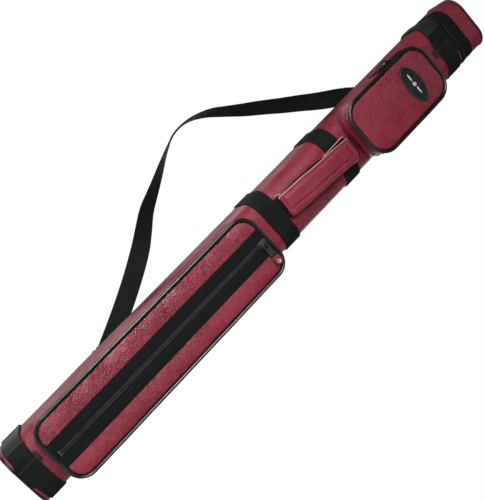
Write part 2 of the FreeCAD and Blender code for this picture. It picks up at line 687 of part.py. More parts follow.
for pocket in ("lower", "upper"):
    pocket_gusset(pocket)
    cord(pocket + "_pocket_piping", "XZ_Plane", f"Dims.{pocket}_w", f"Dims.{pocket}_tall",
         f"Dims.{pocket}_r", "Dims.cord_r", y=f"-Dims.{pocket}_front", z=f"Dims.{pocket}_z")

pocket_panel("lower_pocket_panel_left", "lower", ("-Dims.zip_w / 2 - Dims.gap", "Dims.lower_w"))
pocket_panel("lower_pocket_panel_right", "lower", ("-Dims.lower_w", "Dims.zip_w / 2 + Dims.gap"))
pocket_panel("upper_pocket_panel", "upper")

lower_zip_strips("lower_pocket_zip_tape", "halves", "-Dims.lower_front + Dims.tape_t / 2",
                 "Dims.coil_split + Dims.coil_w + Dims.gap", "Dims.zip_w / 2",
                 (f"-{PANEL_HALF} + Dims.tape_end", f"{PANEL_HALF} - Dims.tape_end"),
                 "Dims.tape_t")
lower_zip_strips("lower_pocket_zip_teeth", "rows", "-Dims.lower_front + Dims.coil_rear",
                 "Dims.coil_split", "Dims.coil_split + Dims.coil_w",
                 (f"-{PANEL_HALF} + Dims.coil_low", f"{PANEL_HALF} - Dims.coil_high"),
                 "Dims.coil_t")
STOP_Z = f"Dims.lower_z - {PANEL_HALF} + Dims.tape_end"
plate("lower_pocket_zip_stop", around("Dims.stop_w"), (STOP_Z, STOP_Z + " + Dims.stop_tall"),
      "-Dims.lower_front + Dims.stop_rear", "Dims.stop_t", "Dims.stop_r")

SIDE_TAPE = "Dims.gusset_out + Dims.gap"
SIDE_TEETH = SIDE_TAPE + " + Dims.tape_t + Dims.gap"
gusset_run("upper_pocket_zip_tape", "Dims.upper_tape_w", SIDE_TAPE, "Dims.tape_t")
gusset_run("upper_pocket_zip_teeth", "Dims.upper_teeth_w", SIDE_TEETH, "Dims.upper_teeth_t")
badge_plate()


# ---- zip sliders and pulls ------------------------------------------------------
def lower_zip_slider():
    """Front plate with a bridge, and a rear plate, joined by a narrow neck."""
    # distances from the piping plane: y is negative towards the front
    plate_front = "3.6"
    core_y = ("-1.7", "0.1")
    neck_w, neck_z = "0.6", ("3", "6")
    neck_front, neck_back = "2.0", "1.4"
    rear_y, rear_z, rear_half_w = ("1.2", "2.4"), ("-6", "6.2"), "4.2"
    clear_y, clear_z = ("-1.7", "1.1"), ("-3.6", "3.7")

    slider = body("lower_zip_slider", y="-Dims.lower_front", z="Dims.lower_slider_z")
    sk = sketch(slider, "XZ_Plane", "front_plate")
    rounded(sk, "Dims.slider_w", "Dims.slider_tall", "Dims.slider_r")
    pad(slider, sk, plate_front, "stem_block")
    sk = sketch(slider, "XY_Plane", "core")
    box(sk, around("24"), core_y)
    cut(slider, sk, "thin_front")
    sk = sketch(slider, "XZ_Plane", "neck")
    box(sk, around(neck_w), neck_z)
    pad(slider, sk, neck_front, "neck_front")
    sk = sketch(slider, "XZ_Plane", "neck_rear")
    box(sk, around(neck_w), neck_z)
    pad(slider, sk, neck_back, "neck_back", back=True)
    sk = sketch(slider, "YZ_Plane", "rear_plate")
    box(sk, rear_y, rear_z)
    half = pad(slider, sk, rear_half_w, "rear_half")
    mirror = slider.newObject("PartDesign::Mirrored", "lower_zip_slider_mirror")
    mirror.Originals = [half]
    mirror.MirrorPlane = (origin_plane(slider, "YZ_Plane"), [""])
    slider.Tip = mirror
    sk = sketch(slider, "XZ_Plane", "bridge")
    box(sk, around("Dims.bridge_w"), around("Dims.bridge_tall"))
    pad(slider, sk, "Dims.bridge_front", "bridge_pad")
    # the bridge stands on the front plate only
    sk = sketch(slider, "YZ_Plane", "clear_core_side")
    box(sk, clear_y, clear_z)
    cut(slider, sk, "open_under_bridge")


def lower_pull():
    """Pull lying to the right of the slider, with a rounded tip and an eyelet on it."""
    plate("lower_zip_pull", ("Dims.front_pull_start", "Dims.front_pull_end"),
          around("Dims.front_pull_w", "Dims.lower_slider_z"),
          "-Dims.lower_front - Dims.bridge_front - Dims.pull_clear",
          "Dims.pull_t", "Dims.front_pull_r")
    tip_y = "-Dims.lower_front - Dims.tip_rear"
    plate("lower_pull_tip", ("Dims.front_pull_end + Dims.gap", "Dims.tip_end"),
          around("Dims.tip_w", "Dims.lower_slider_z"), tip_y, "Dims.tip_t", "Dims.tip_r")
    eyelet = body("lower_pull_eyelet", x="Dims.eyelet_x", y=tip_y + " - Dims.tip_t - Dims.gap",
                  z="Dims.lower_slider_z")
    sk = sketch(eyelet, "XZ_Plane", "ring")
    circle(sk, "0", "0", "Dims.eyelet_out_r")
    circle(sk, "0", "0", "Dims.eyelet_in_r")
    pad(eyelet, sk, "Dims.eyelet_t")


def side_slider(prefix, x, y, z, plate_size, plate_t, bridge_size, bridge_t, left):
    """Slider and hanging pull on the left or right side of the case."""
    slider = body(prefix + "_zip_slider", x=x, y=y, z=z)
    sk = sketch(slider, "YZ_Plane", "plate")
    rounded(sk, *plate_size)
    pad(slider, sk, plate_t, back=left)
    sk = sketch(slider, "YZ_Plane", "bridge")
    box(sk, around(bridge_size[0]), around(bridge_size[1]))
    pad(slider, sk, bridge_t, "bridge_pad", back=left)
    sign = "-" if left else "+"
    pull = body(prefix + "_zip_pull", x=f"{x} {sign} ({bridge_t} + Dims.pull_clear)",
                y=y, z=z + " - Dims.pull_drop")
    sk = sketch(pull, "YZ_Plane", "tongue")
    rounded(sk, "Dims.pull_w", "Dims.pull_len", "Dims.pull_r")
    pad(pull, sk, "Dims.pull_t", back=left)


lower_zip_slider()
lower_pull()
# plate_size is width, height, corner radius; bridge_size is width, height
side_slider("upper",
            x=f"-Dims.upper_w / 2 - ({SIDE_TEETH} + Dims.upper_teeth_t + Dims.slider_clear)",
            y="-Dims.upper_zip_y", z="Dims.upper_slider_z",
            plate_size=("Dims.slider_w", "Dims.slider_tall", "Dims.slider_r"), plate_t="1.6",
            bridge_size=("Dims.bridge_w", "Dims.bridge_tall"), bridge_t="2.8", left=True)
side_slider("lid", x="Dims.case_w / 2 + Dims.teeth_out + Dims.slider_clear",
            y="Dims.lid_slider_y", z="Dims.split_z",
            plate_size=("12", "7.6", "2.2"), plate_t="1.5",
            bridge_size=("6", "2.6"), bridge_t="2.6", left=False)

# ---- carrying handle --------------------------------------------------------------
LEAN = FreeCAD.Placement(Vec(0, -val("Dims.grip_y"), val("Dims.grip_z")),
                         Rot(Vec(0, 1, 0), val("Dims.grip_lean")))


def handle_piece(label, length, *outlines):
    """Leaning bar; each outline is width, thickness, corner radius."""
    owner = body(label)
    owner.Placement = LEAN
    sk = sketch(owner, "XY_Plane", "section")
    for outline in outlines:
        rounded(sk, *outline)
    pad(owner, sk, length, symmetric=True)


def handle_tab(side, x):
    """Sewn webbing end on a handle band."""
    low = f"Dims.handle_{side}_z"
    plate("handle_tab_" + side, around("Dims.core_w", x),
          (low + " + Dims.tab_inset", low + " + Dims.handle_tall - Dims.tab_inset"),
          CASE_FRONT + " - Dims.gap - Dims.band_t", "Dims.tab_t", "Dims.tab_r")


handle_piece("handle_grip", "Dims.grip_len", ("Dims.grip_w", "Dims.grip_t", "Dims.grip_r"),
             ("Dims.core_w + Dims.slack_w", "Dims.core_t + Dims.slack_t", "Dims.opening_r"))
handle_piece("handle_webbing", "Dims.core_len", ("Dims.core_w", "Dims.core_t", "Dims.core_r"))
handle_tab("upper", "Dims.tab_upper_x")
handle_tab("lower", "-Dims.tab_lower_x")


# ---- shoulder strap and its rings -------------------------------------------------
def chape(label, z):
    """Webbing loop sewn to the back, holding the ring's straight bar."""
    owner = body(label, y="Dims.ring_y", z=z)
    sk = sketch(owner, "XY_Plane", "loop")
    circle(sk, "0", "0", "Dims.chape_bore + Dims.chape_t")
    pad(owner, sk, "Dims.chape_len", "loop_half", symmetric=True)
    sk = sketch(owner, "XY_Plane", "foot")
    foot_y = "Dims.case_w / 2 + Dims.gap - Dims.ring_y"
    box(sk, around("Dims.chape_w"), (foot_y, foot_y + " + Dims.chape_t"))
    pad(owner, sk, "Dims.chape_len", "foot_pad", symmetric=True)
    sk = sketch(owner, "XY_Plane", "bar_hole")
    circle(sk, "0", "0", "Dims.chape_bore")
    cut(owner, sk, "bar_bore")


def d_ring(label, z):
    """Wire ring: straight bar on the axis, half circle towards -X."""
    owner = body(label, y="Dims.ring_y", z=z)
    path = sketch(owner, "XZ_Plane", "path")
    half, corner = val("Dims.ring_half"), val("Dims.ring_c")
    geo = list(path.addGeometry([
        line(0, -half + corner, 0, half - corner), arc(-corner, half - corner, corner, 0, 90),
        arc(-corner, 0, half, 90, 270), arc(-corner, -half + corner, corner, 270, 360)], False))
    for i in range(4):
        path.addConstraint(Sketcher.Constraint("Tangent", geo[i], 2, geo[(i + 1) % 4], 1))
    path.addConstraint(Sketcher.Constraint("Vertical", geo[0]))
    path.addConstraint(Sketcher.Constraint("Equal", geo[1], geo[3]))
    datum(path, "Radius", (geo[1],), "Dims.ring_c")
    datum(path, "Radius", (geo[2],), "Dims.ring_half")
    path.addConstraint(Sketcher.Constraint("PointOnObject", geo[0], 1, -2))
    path.addConstraint(Sketcher.Constraint("PointOnObject", geo[2], 3, -1))
    profile = sketch(owner, "XY_Plane", "wire")
    circle(profile, "0", "0", "Dims.ring_wire")
    sweep(owner, path, profile)


for side in ("upper", "lower"):
    chape("strap_anchor_" + side, f"Dims.ring_{side}_z")
    d_ring("d_ring_" + side, f"Dims.ring_{side}_z")

# strap centre line from the upper ring to the lower: x, z, and turn about its own length
# in degrees; zero turn lies flat against the plane of the back
STRAP = [
    (-18.2, 671.4, 0), (-30.0, 657.6, 0), (-41.0, 643.6, 4), (-58.0, 620.5, 20),
    (-77.0, 594.0, 34), (-99.0, 562.5, 44), (-121.0, 529.5, 56), (-139.0, 500.5, 68),
    (-151.5, 478.0, 78), (-158.5, 459.0, 85), (-161.0, 441.0, 88), (-159.0, 423.0, 83),
    (-153.5, 406.0, 76), (-145.0, 388.5, 68), (-135.5, 370.5, 58), (-124.5, 349.8, 46),
    (-112.5, 328.2, 34), (-99.5, 310.0, 20), (-88.0, 292.0, 8), (-79.0, 274.2, 0),
    (-60.0, 236.9, 0), (-36.0, 189.8, 0), (-13.2, 145.0, 0),
]
LEG_START = -4      # station where the straight lower leg begins
TURN_SHIFT = 0.96   # forward shift of a turned section, as a share of its half width


def ribbon(stations, width, thick):
    """Lofted webbing: flat sections carried along the centre line."""
    wires = []
    last = len(stations) - 1
    for i, (x, z, turn) in enumerate(stations):
        x_before, z_before, _ = stations[max(i - 1, 0)]
        x_after, z_after, _ = stations[min(i + 1, last)]
        along = Vec(x_after - x_before, 0, z_after - z_before).normalize()
        flat = Vec(0, 1, 0).cross(along)
        angle = math.radians(turn)
        across = flat * math.cos(angle) + Vec(0, -1, 0) * math.sin(angle)
        normal = along.cross(across)
        centre = Vec(x, -(width / 2) * math.sin(angle) * TURN_SHIFT, z)
        corners = [centre + across * (u * width / 2) + normal * (v * thick / 2)
                   for u, v in ((-1, -1), (1, -1), (1, 1), (-1, 1))]
        wires.append(Part.makePolygon(corners + [corners[0]]))
    return Part.makeLoft(wires, True, True)


def shoulder_strap():
    strap = doc.addObject("Part::Feature", "shoulder_strap")
    strap.Label = "shoulder_strap"
    strap.Shape = ribbon(STRAP, val("Dims.strap_w"), val("Dims.strap_t"))
    strap.Placement = FreeCAD.Placement(Vec(0, val("Dims.ring_y"), 0), Rot())
    SUBPARTS.append(strap)


def strap_adjuster():
    """Three-bar slide on the lower leg of the strap."""
    centre_x, centre_z = -19.8, 158.0
    (x_top, z_top, _), (x_end, z_end, _) = STRAP[LEG_START], STRAP[-1]
    slope = math.degrees(math.atan2(x_end - x_top, z_top - z_end))
    owner = body("strap_adjuster")
    owner.Placement = FreeCAD.Placement(Vec(centre_x, val("Dims.ring_y"), centre_z),
                                        Rot(Vec(0, 1, 0), -slope))
    sk = sketch(owner, "XZ_Plane", "frame")
    rounded(sk, "Dims.strap_w + Dims.frame_rim", "Dims.frame_tall", "Dims.frame_r")
    pad(owner, sk, "Dims.frame_t", "frame", symmetric=True)
    opening = around("Dims.strap_w + 2 * Dims.slot_side")
    sk = sketch(owner, "XY_Plane", "webbing_slot")
    box(sk, opening, around("Dims.strap_t + 2 * Dims.slot_face"))
    cut(owner, sk, "slot_cut")
    sk = sketch(owner, "XZ_Plane", "windows")
    box(sk, opening, ("Dims.window_low", "Dims.window_high"))
    box(sk, opening, ("-Dims.window_high", "-Dims.window_low"))
    cut(owner, sk, "window_cut")


shoulder_strap()
strap_adjuster()

# ---- check and write ------------------------------------------------------------
doc.recompute()
bad = [o.Name + " " + ",".join(o.State) for o in doc.Objects
       if "Invalid" in o.State or "Error" in o.State]
for part in SUBPARTS:
    if part.Shape.isNull() or not part.Shape.isValid() or not part.Shape.Solids:
        bad.append(part.Label + " has no valid solid")
if bad:
    raise RuntimeError("; ".join(bad))
os.makedirs("parts", exist_ok=True)
for part in SUBPARTS:
    part.Shape.exportStep("parts/%s.step" % part.Label)
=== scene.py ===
"""A zipped, square-section cue case with two pockets, a carrying handle and a shoulder strap.

The case stands on the floor with its length along +Z. Its front, with the pockets and the
handle, faces -Y; +X is called right and -X left. The lid is hinged at the back, where the
strap's loops are sewn. Lengths are in mm unless a comment says otherwise, and become metres
when a mesh is made.
"""
import math
from types import SimpleNamespace

import bmesh
import bpy
import numpy as np
from mathutils import Matrix, Vector


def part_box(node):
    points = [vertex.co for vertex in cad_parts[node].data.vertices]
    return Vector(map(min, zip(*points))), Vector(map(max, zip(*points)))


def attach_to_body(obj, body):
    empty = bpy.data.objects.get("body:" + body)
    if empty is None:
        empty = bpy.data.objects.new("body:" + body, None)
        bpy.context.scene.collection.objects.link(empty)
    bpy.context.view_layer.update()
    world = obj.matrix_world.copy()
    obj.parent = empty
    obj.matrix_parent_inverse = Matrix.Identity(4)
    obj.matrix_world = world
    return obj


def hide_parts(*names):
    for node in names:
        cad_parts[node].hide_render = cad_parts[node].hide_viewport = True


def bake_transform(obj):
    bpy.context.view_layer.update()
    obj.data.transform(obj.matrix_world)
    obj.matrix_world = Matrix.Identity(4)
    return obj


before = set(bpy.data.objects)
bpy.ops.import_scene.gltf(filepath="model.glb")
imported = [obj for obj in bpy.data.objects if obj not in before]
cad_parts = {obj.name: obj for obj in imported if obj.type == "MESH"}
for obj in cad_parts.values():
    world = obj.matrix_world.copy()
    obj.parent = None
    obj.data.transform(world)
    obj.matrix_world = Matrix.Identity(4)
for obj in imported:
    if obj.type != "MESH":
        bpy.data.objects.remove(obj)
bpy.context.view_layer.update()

TAU = 2 * math.pi
RIGHT, BACK, UP = np.eye(3)
LEFT, FRONT = -RIGHT, -BACK


def box(node):
    """Corners, middle and size of a CAD piece."""
    low, high = (np.array(corner) * 1000 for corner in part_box(node))
    return SimpleNamespace(low=low, high=high, mid=(low + high) / 2, size=high - low)


def height_span(node):
    """Lower and upper z of a CAD piece."""
    piece = box(node)
    return float(piece.low[2]), float(piece.high[2])


# ------------------------------------------------------------------ driving sizes
HALF = float(box("body_cover").size[0] / 2)     # half the case's width
CORNER = 22.0                                   # radius of the case's upright corners
FLAT = HALF - CORNER                            # half the flat part of each side
PERIMETER = 8 * FLAT + TAU * CORNER
Z_SPLIT = 788.0                                 # the lid parts from the body here
SKIN_LOW, SKIN_HIGH = height_span("body_cover")
NECK_LOW, NECK_HIGH = height_span("neck_band")
BASE_LOW, BASE_HIGH = height_span("base_band")
UPPER_LOW, UPPER_HIGH = height_span("handle_band_upper")
LOWER_LOW, LOWER_HIGH = height_span("handle_band_lower")
LID_TAPE_LOW, LID_TAPE_HIGH = height_span("lid_zip_tape")
LID_SKIN_LOW, LID_SKIN_HIGH = height_span("lid_cover")
LID_TOP = float(box("lid_top_panel").high[2])


# ------------------------------------------------------------------ curves and small maths
def unit(vectors):
    return vectors / np.linalg.norm(vectors, axis=-1, keepdims=True)


def tangents(path):
    return unit(np.gradient(path, axis=0))


def square_to(vectors, directions):
    """Unit vectors nearest the given ones that stand square to the directions."""
    return unit(vectors - directions * (vectors * directions).sum(-1, keepdims=True))


def arc_lengths(path):
    steps = np.linalg.norm(np.diff(path, axis=0), axis=1)
    return np.concatenate([[0], np.cumsum(steps)])


def interpolate(where, lengths, points):
    return np.stack([np.interp(where, lengths, column) for column in points.T], 1)


def raised(plan, z=0.0):
    """Plan points (x, y) with a z."""
    return np.insert(plan, 2, z, axis=1)


def upright(outline, y=0.0):
    """Front-view points (x, z) with a y."""
    return np.insert(outline, 1, y, axis=1)


def wave(x, y, seed):
    """Smooth noise made of seeded sines, about -1 to 1."""
    random = np.random.default_rng(seed)
    total = 0
    for octave in range(4):
        for _ in range(3):
            heading = random.uniform(0, TAU)
            pace = (1.7 ** octave) * random.uniform(0.7, 1.3)
            phase = random.uniform(0, TAU)
            run = (np.cos(heading) * x + np.sin(heading) * y) * pace
            total = total + np.sin(run + phase) / (1.5 ** octave)
    return total / 4.5


def smooth(x, start, end):
    """Eases from 0 at start to 1 at end."""
    part = np.clip((x - start) / (end - start), 0, 1)
    return part * part * (3 - 2 * part)


def bell(x, middle, width):
    return np.exp(-((x - middle) / width) ** 2)


def round_off(inset, radius):
    """How far a rounded edge falls away at a distance in from its end."""
    return radius - np.sqrt(np.maximum(0, radius ** 2 - np.maximum(0, radius - inset) ** 2))


def rounded_walk(arcs, flat_x, flat_y, radius):
    """Points and normals of a rounded rectangle, at arcs clockwise from its top centre.

    flat_x and flat_y are half the straight parts.
    """
    quarter = math.pi / 2 * radius
    # length, corner centre it starts from, angle of its normal, whether it bends
    pieces = (
        (flat_x, (0, flat_y), 90, False), (quarter, (flat_x, flat_y), 90, True),
        (2 * flat_y, (flat_x, flat_y), 0, False), (quarter, (flat_x, -flat_y), 0, True),
        (2 * flat_x, (flat_x, -flat_y), -90, False), (quarter, (-flat_x, -flat_y), -90, True),
        (2 * flat_y, (-flat_x, -flat_y), 180, False), (quarter, (-flat_x, flat_y), 180, True),
        (flat_x, (-flat_x, flat_y), 90, False))
    edges = np.concatenate([[0], np.cumsum([piece[0] for piece in pieces])])
    edges[-1] += 1e-6
    points = np.zeros((len(arcs), 2))
    normals = np.zeros((len(arcs), 2))
    for (_, anchor, degrees, bends), start, end in zip(pieces, edges, edges[1:]):
        here = (arcs >= start) & (arcs < end)
        run = arcs[here] - start
        angle = math.radians(degrees) - run / radius * bends
        normal = np.c_[np.cos(angle), np.sin(angle)]
        tangent = np.c_[normal[:, 1], -normal[:, 0]]
        normals[here] = normal
        points[here] = anchor + radius * normal + tangent * run[:, None] * (not bends)
    return points, normals


def section(arcs):
    """Plan points and outward normals of the case, at arcs from the front centre towards +X."""
    arcs = np.mod(np.asarray(arcs, float), PERIMETER)
    points, normals = rounded_walk(arcs, FLAT, FLAT, CORNER)
    return points * (1, -1), normals * (1, -1)


def arc_at(x, front=True):
    """Signed arc of the front (or back) point with that x."""
    arcs = np.linspace(0, PERIMETER, 4001)
    points, _ = section(arcs)
    facing = points[:, 1] < 0 if front else points[:, 1] > 0
    best = arcs[np.where(facing, abs(points[:, 0] - x), 1e9).argmin()]
    return best if best < PERIMETER / 2 else best - PERIMETER


def rounded_rect(width, height, radius, count=None, step=None):
    """Closed rounded rectangle clockwise from its top centre: points, normals, arcs, length."""
    flat_x, flat_y = width / 2 - radius, height / 2 - radius
    length = 4 * flat_x + 4 * flat_y + 4 * (math.pi / 2 * radius)
    count = count or int(length / step)
    arcs = np.arange(count) / count * length
    points, normals = rounded_walk(arcs, flat_x, flat_y, radius)
    return points, normals, arcs, length


# ------------------------------------------------------------------ meshes: points, faces, UVs
FLIP = [0, 3, 2, 1]         # turns a quad over and keeps its first corner


def quads(rows, columns, wrap_rows=False, wrap_columns=True):
    shape = (rows - (not wrap_rows), columns - (not wrap_columns))
    row, column = np.indices(shape).reshape(2, -1)
    next_row, next_column = (row + 1) % rows, (column + 1) % columns
    return np.c_[row * columns + column, next_row * columns + column,
                 next_row * columns + next_column, row * columns + next_column]


def grid_mesh(grid, lengths, girth, closed=True):
    """A grid whose columns wrap, and its rows too if closed; lengths and girth give the UVs."""
    rows, columns = grid.shape[:2]
    row, column = np.indices((rows - (not closed), columns)).reshape(2, -1)
    corners = ((0, 0), (1, 0), (1, 1), (0, 1))
    uvs = np.stack([np.c_[lengths[row + i], girth[column + j]] for i, j in corners], 1)
    return grid.reshape(-1, 3), quads(rows, columns, closed).tolist(), uvs.reshape(-1, 2).tolist()


def sweep(path, out, across, loop, closed=True, lengths=None):
    """A cross-section carried along a path; the loop's two columns run along out and across."""
    path = np.asarray(path, float)
    out, across = (np.broadcast_to(axis, path.shape) for axis in (out, across))
    loop = np.asarray(loop, float)
    if loop.ndim == 2:
        loop = np.repeat(loop[None], len(path), 0)
    count, size = loop.shape[:2]
    grid = path[:, None] + out[:, None] * loop[:, :, :1] + across[:, None] * loop[:, :, 1:]
    if lengths is None:
        lengths = arc_lengths(path)
        lengths = np.append(lengths, lengths[-1] + np.linalg.norm(path[0] - path[-1]))
    middle = loop[count // 2]
    girth = arc_lengths(np.vstack([middle, middle[:1]]))
    points, faces, uvs = grid_mesh(grid, lengths, girth, closed)
    if not closed:
        faces.append(list(range(size))[::-1])
        uvs += [[0.0, float(v)] for v in girth[:size]][::-1]
        faces.append([(count - 1) * size + i for i in range(size)])
        uvs += [[float(lengths[count - 1]), float(v)] for v in girth[:size]]
    return points, faces, uvs


def stack(rings, close=False):
    """Rings of equal count joined in order, capped at both ends or closed last to first."""
    count = len(rings[0])
    faces = quads(len(rings), count, close)[:, FLIP].tolist()
    if not close:
        faces.append(list(range(count))[::-1])
        faces.append([(len(rings) - 1) * count + i for i in range(count)])
    return np.vstack(rings), faces, None


def sheet(grid, step, uvs=None):
    """A closed sheet from a grid of points and the step to its other face."""
    rows, columns, _ = grid.shape
    half = rows * columns
    points = np.vstack([grid.reshape(-1, 3), (grid + step).reshape(-1, 3)])
    flat = (grid[:, :, [0, 2]] if uvs is None else uvs).reshape(-1, 2)
    flat = np.vstack([flat, flat])
    front = quads(rows, columns, wrap_columns=False)[:, FLIP]
    faces = front.tolist() + (front[:, FLIP] + half).tolist()
    index = np.arange(half).reshape(rows, columns)
    rim = np.concatenate([index[0], index[1:, -1], index[-1, -2::-1], index[-2:0:-1, 0]])
    following = np.roll(rim, -1)
    faces += np.c_[following, rim, rim + half, following + half].tolist()
    return points, faces, [flat[corner].tolist() for face in faces for corner in face]


def join(meshes):
    """One mesh from several; it has UVs only if they all do."""
    points, faces, uvs, offset = [], [], [], 0
    has_uvs = all(mesh[2] is not None for mesh in meshes)
    for mesh_points, mesh_faces, mesh_uvs in meshes:
        points.append(mesh_points)
        faces += [[corner + offset for corner in face] for face in mesh_faces]
        if has_uvs:
            uvs += mesh_uvs
        offset += len(mesh_points)
    return np.concatenate(points), faces, uvs if has_uvs else None


def make(name, mesh, material, sharp=40):
    """An object from a mesh in mm; edges steeper than sharp degrees stay crisp."""
    points, faces, uvs = mesh
    data = bpy.data.meshes.new(name)
    data.from_pydata((np.asarray(points, float) * 0.001).tolist(), [], faces)
    if uvs is not None:
        layer = data.uv_layers.new(name="weave")
        layer.data.foreach_set("uv", np.asarray(uvs, np.float32).ravel())
    editor = bmesh.new()
    editor.from_mesh(data)
    bmesh.ops.recalc_face_normals(editor, faces=editor.faces)
    editor.to_mesh(data)
    editor.free()
    data.polygons.foreach_set("use_smooth", [True] * len(data.polygons))
    data.set_sharp_from_angle(angle=math.radians(sharp))
    data.materials.append(material)
    made = bpy.data.objects.new(name, data)
    bpy.context.scene.collection.objects.link(made)
    return made


def attach(made, replaces="", body="root"):
    """Parents a piece to its body's empty, or bakes its place into its mesh when body is a bend's
    tuple; hides the CAD pieces it replaces.
    """
    if isinstance(body, str):
        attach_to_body(made, body)
    else:
        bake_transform(made)
    if replaces:
        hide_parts(*replaces.split())


def add(name, mesh, material, slot, replaces="", body="root", sharp=40):
    attach(make(name, mesh, material, sharp), replaces, body)


# ------------------------------------------------------------------ cross-sections and wires
def bar_loop(thick, width, radius=0.5):
    """Section of flat webbing (out, across): out from 0 to thick, centred across."""
    radius = min(radius, thick / 2 - 0.02)
    far, edge = thick - radius, width / 2 - radius
    corners = ((far, edge, 0), (radius, edge, 90), (radius, -edge, 180), (far, -edge, 270))
    outline = []
    for centre_out, centre_across, degrees in corners:
        for k in range(5):
            angle = math.radians(degrees + 90 * k / 4)
            outline.append(np.array((centre_out + radius * math.cos(angle),
                                     centre_across + radius * math.sin(angle))))
    # the two long faces are divided so that they can be crowned
    loop = []
    for start, end in zip(outline, outline[1:] + outline[:1]):
        loop.append(start)
        length = np.linalg.norm(end - start)
        if length > 3:
            cuts = max(2, int(length / 2.5))
            loop += [start + (end - start) * k / cuts for k in range(1, cuts)]
    return np.array(loop)


def circle_loop(radius, count):
    angle = np.arange(count) / count * TAU
    return np.c_[radius * np.cos(angle), radius * np.sin(angle)]


def case_ring(loop, start=None, end=None, step=1.5, rise=None, swell=None):
    """A section (out, z) carried round the case, or from arc start to arc end.

    rise and swell, functions of (arc, loop z), move its points up and outwards.
    """
    closed = start is None
    if closed:
        count = int(PERIMETER / step)
        arcs = np.arange(count) / count * PERIMETER
    else:
        arcs = np.linspace(start, end, int((end - start) / step) + 2)
    points, normals = section(arcs)
    loops = np.repeat(np.asarray(loop, float)[None], len(arcs), 0)
    if swell is not None:
        loops[:, :, 0] += swell(arcs[:, None], loops[:, :, 1])
    if rise is not None:
        loops[:, :, 1] += rise(arcs[:, None], loops[:, :, 1])
    lengths = np.append(arcs - arcs[0], PERIMETER if closed else 0)
    return sweep(raised(points), raised(normals), UP, loops, closed, lengths)


def wire(path, radius, count=10, closed=False):
    """A round wire along points in space."""
    path = np.asarray(path, float)
    if closed:
        directions = unit(np.roll(path, -1, 0) - np.roll(path, 1, 0))
    else:
        directions = tangents(path)
    reference = np.cross(directions[0], directions[min(len(path) - 1, len(path) // 2)])
    if np.linalg.norm(reference) < 1e-3:      # a straight wire: any slanting axis serves
        reference = np.cross(directions[0], [0.3, 0.9, 0.2])
    side = square_to(unit(reference), directions)
    points, faces, _ = sweep(path, side, np.cross(directions, side),
                             circle_loop(radius, count), closed)
    return points, faces, None


# ------------------------------------------------------------------ stitches and zip teeth
def stitch_shape():
    """A unit stitch (along, across, out): an arched bar with pointed ends."""
    rings = []
    for along, radius, lift in ((-0.42, 0.55, 0.1), (-0.2, 0.95, 0.85),
                                (0.2, 0.95, 0.85), (0.42, 0.55, 0.1)):
        ring = circle_loop(0.5 * radius, 6)
        rings.append(np.c_[np.full(6, along), ring[:, 0], ring[:, 1] + (lift - 0.5) * 0.5])
    faces = quads(4, 6)[:, FLIP].tolist()
    faces += [[24, (i + 1) % 6, i] for i in range(6)]
    faces += [[25, 18 + i, 18 + (i + 1) % 6] for i in range(6)]
    return np.vstack(rings + [(-0.5, 0, -0.45), (0.5, 0, -0.45)]), faces


def tooth_shape():
    """A unit zip tooth (along, across, out): a bevelled bar with a waist."""
    # along, scale across, scale out
    profile = ((-0.5, 0.62, 0.7), (-0.36, 1.0, 1.0), (0.0, 0.8, 0.92),
               (0.36, 1.0, 1.0), (0.5, 0.62, 0.7))
    octagon = np.array([(0.5, 0.34), (0.34, 0.5), (-0.34, 0.5), (-0.5, 0.34),
                        (-0.5, -0.34), (-0.34, -0.5), (0.34, -0.5), (0.5, -0.34)])
    return stack([np.c_[np.full(8, along), octagon * scales] for along, *scales in profile])[:2]


STITCH = stitch_shape()
TOOTH = tooth_shape()


def scatter(name, shape, centres, directions, out, size, material, slot, **attached):
    """Many copies of a small unit shape in one mesh. size = (along, across, out)."""
    shape_points, shape_faces = shape
    along = unit(np.broadcast_to(directions, centres.shape))
    out = square_to(np.broadcast_to(out, centres.shape), along)
    across = np.cross(along, out)
    local = shape_points * size
    points = (centres[:, None] + along[:, None] * local[None, :, :1]
              + across[:, None] * local[None, :, 1:2] + out[:, None] * local[None, :, 2:])
    faces = [[corner + i * len(local) for corner in face]
             for i in range(len(centres)) for face in shape_faces]
    add(name, (points.reshape(-1, 3), faces, None), material, slot, sharp=50, **attached)


def spaced(path, pitch):
    """Evenly spaced points and directions on a polyline."""
    lengths = arc_lengths(path)
    total = lengths[-1]
    count = max(1, int(total / pitch))
    where = (np.arange(count) + 0.5) / count * total
    reach = 0.4
    ahead = interpolate(np.clip(where + reach, 0, total), lengths, path)
    behind = interpolate(np.clip(where - reach, 0, total), lengths, path)
    return interpolate(where, lengths, path), ahead - behind


def stitches(name, lines, pitch, size, material, slot, out=None, body="root"):
    """Stitches along lines, facing out, or away from the case's axis if out isn't given."""
    centres, directions = (np.vstack(part) for part in zip(*[spaced(p, pitch) for p in lines]))
    if out is None:
        out = unit(centres * (1, 1, 0))
    scatter(name, STITCH, centres, directions, out, size, material, slot, body=body)


def box_cross(corners, samples=None, last=(1, 3)):
    """Lines of a box-and-cross seam over four corners; last is the second diagonal."""
    corners = np.array(corners, float)
    lines = []
    for first, second in ((0, 1), (1, 2), (2, 3), (3, 0), (0, 2), last):
        start, end = corners[first], corners[second]
        count = samples or max(2, int(np.hypot(*(end - start)) / 0.8))
        part = np.linspace(0, 1, count)[:, None]
        lines.append(start * (1 - part) + end * part)
    return lines


# ------------------------------------------------------------------ shader building
class Signal:
    """A shader socket; arithmetic on it makes Math nodes."""

    def __init__(self, shader, socket):
        self.shader = shader
        self.socket = socket

    def __add__(self, other):
        return self.shader.calc("ADD", self, other)

    def __sub__(self, other):
        return self.shader.calc("SUBTRACT", self, other)

    def __rsub__(self, other):
        return self.shader.calc("SUBTRACT", other, self)

    def __mul__(self, other):
        return self.shader.calc("MULTIPLY", self, other)

    def __truediv__(self, other):
        return self.shader.calc("DIVIDE", self, other)


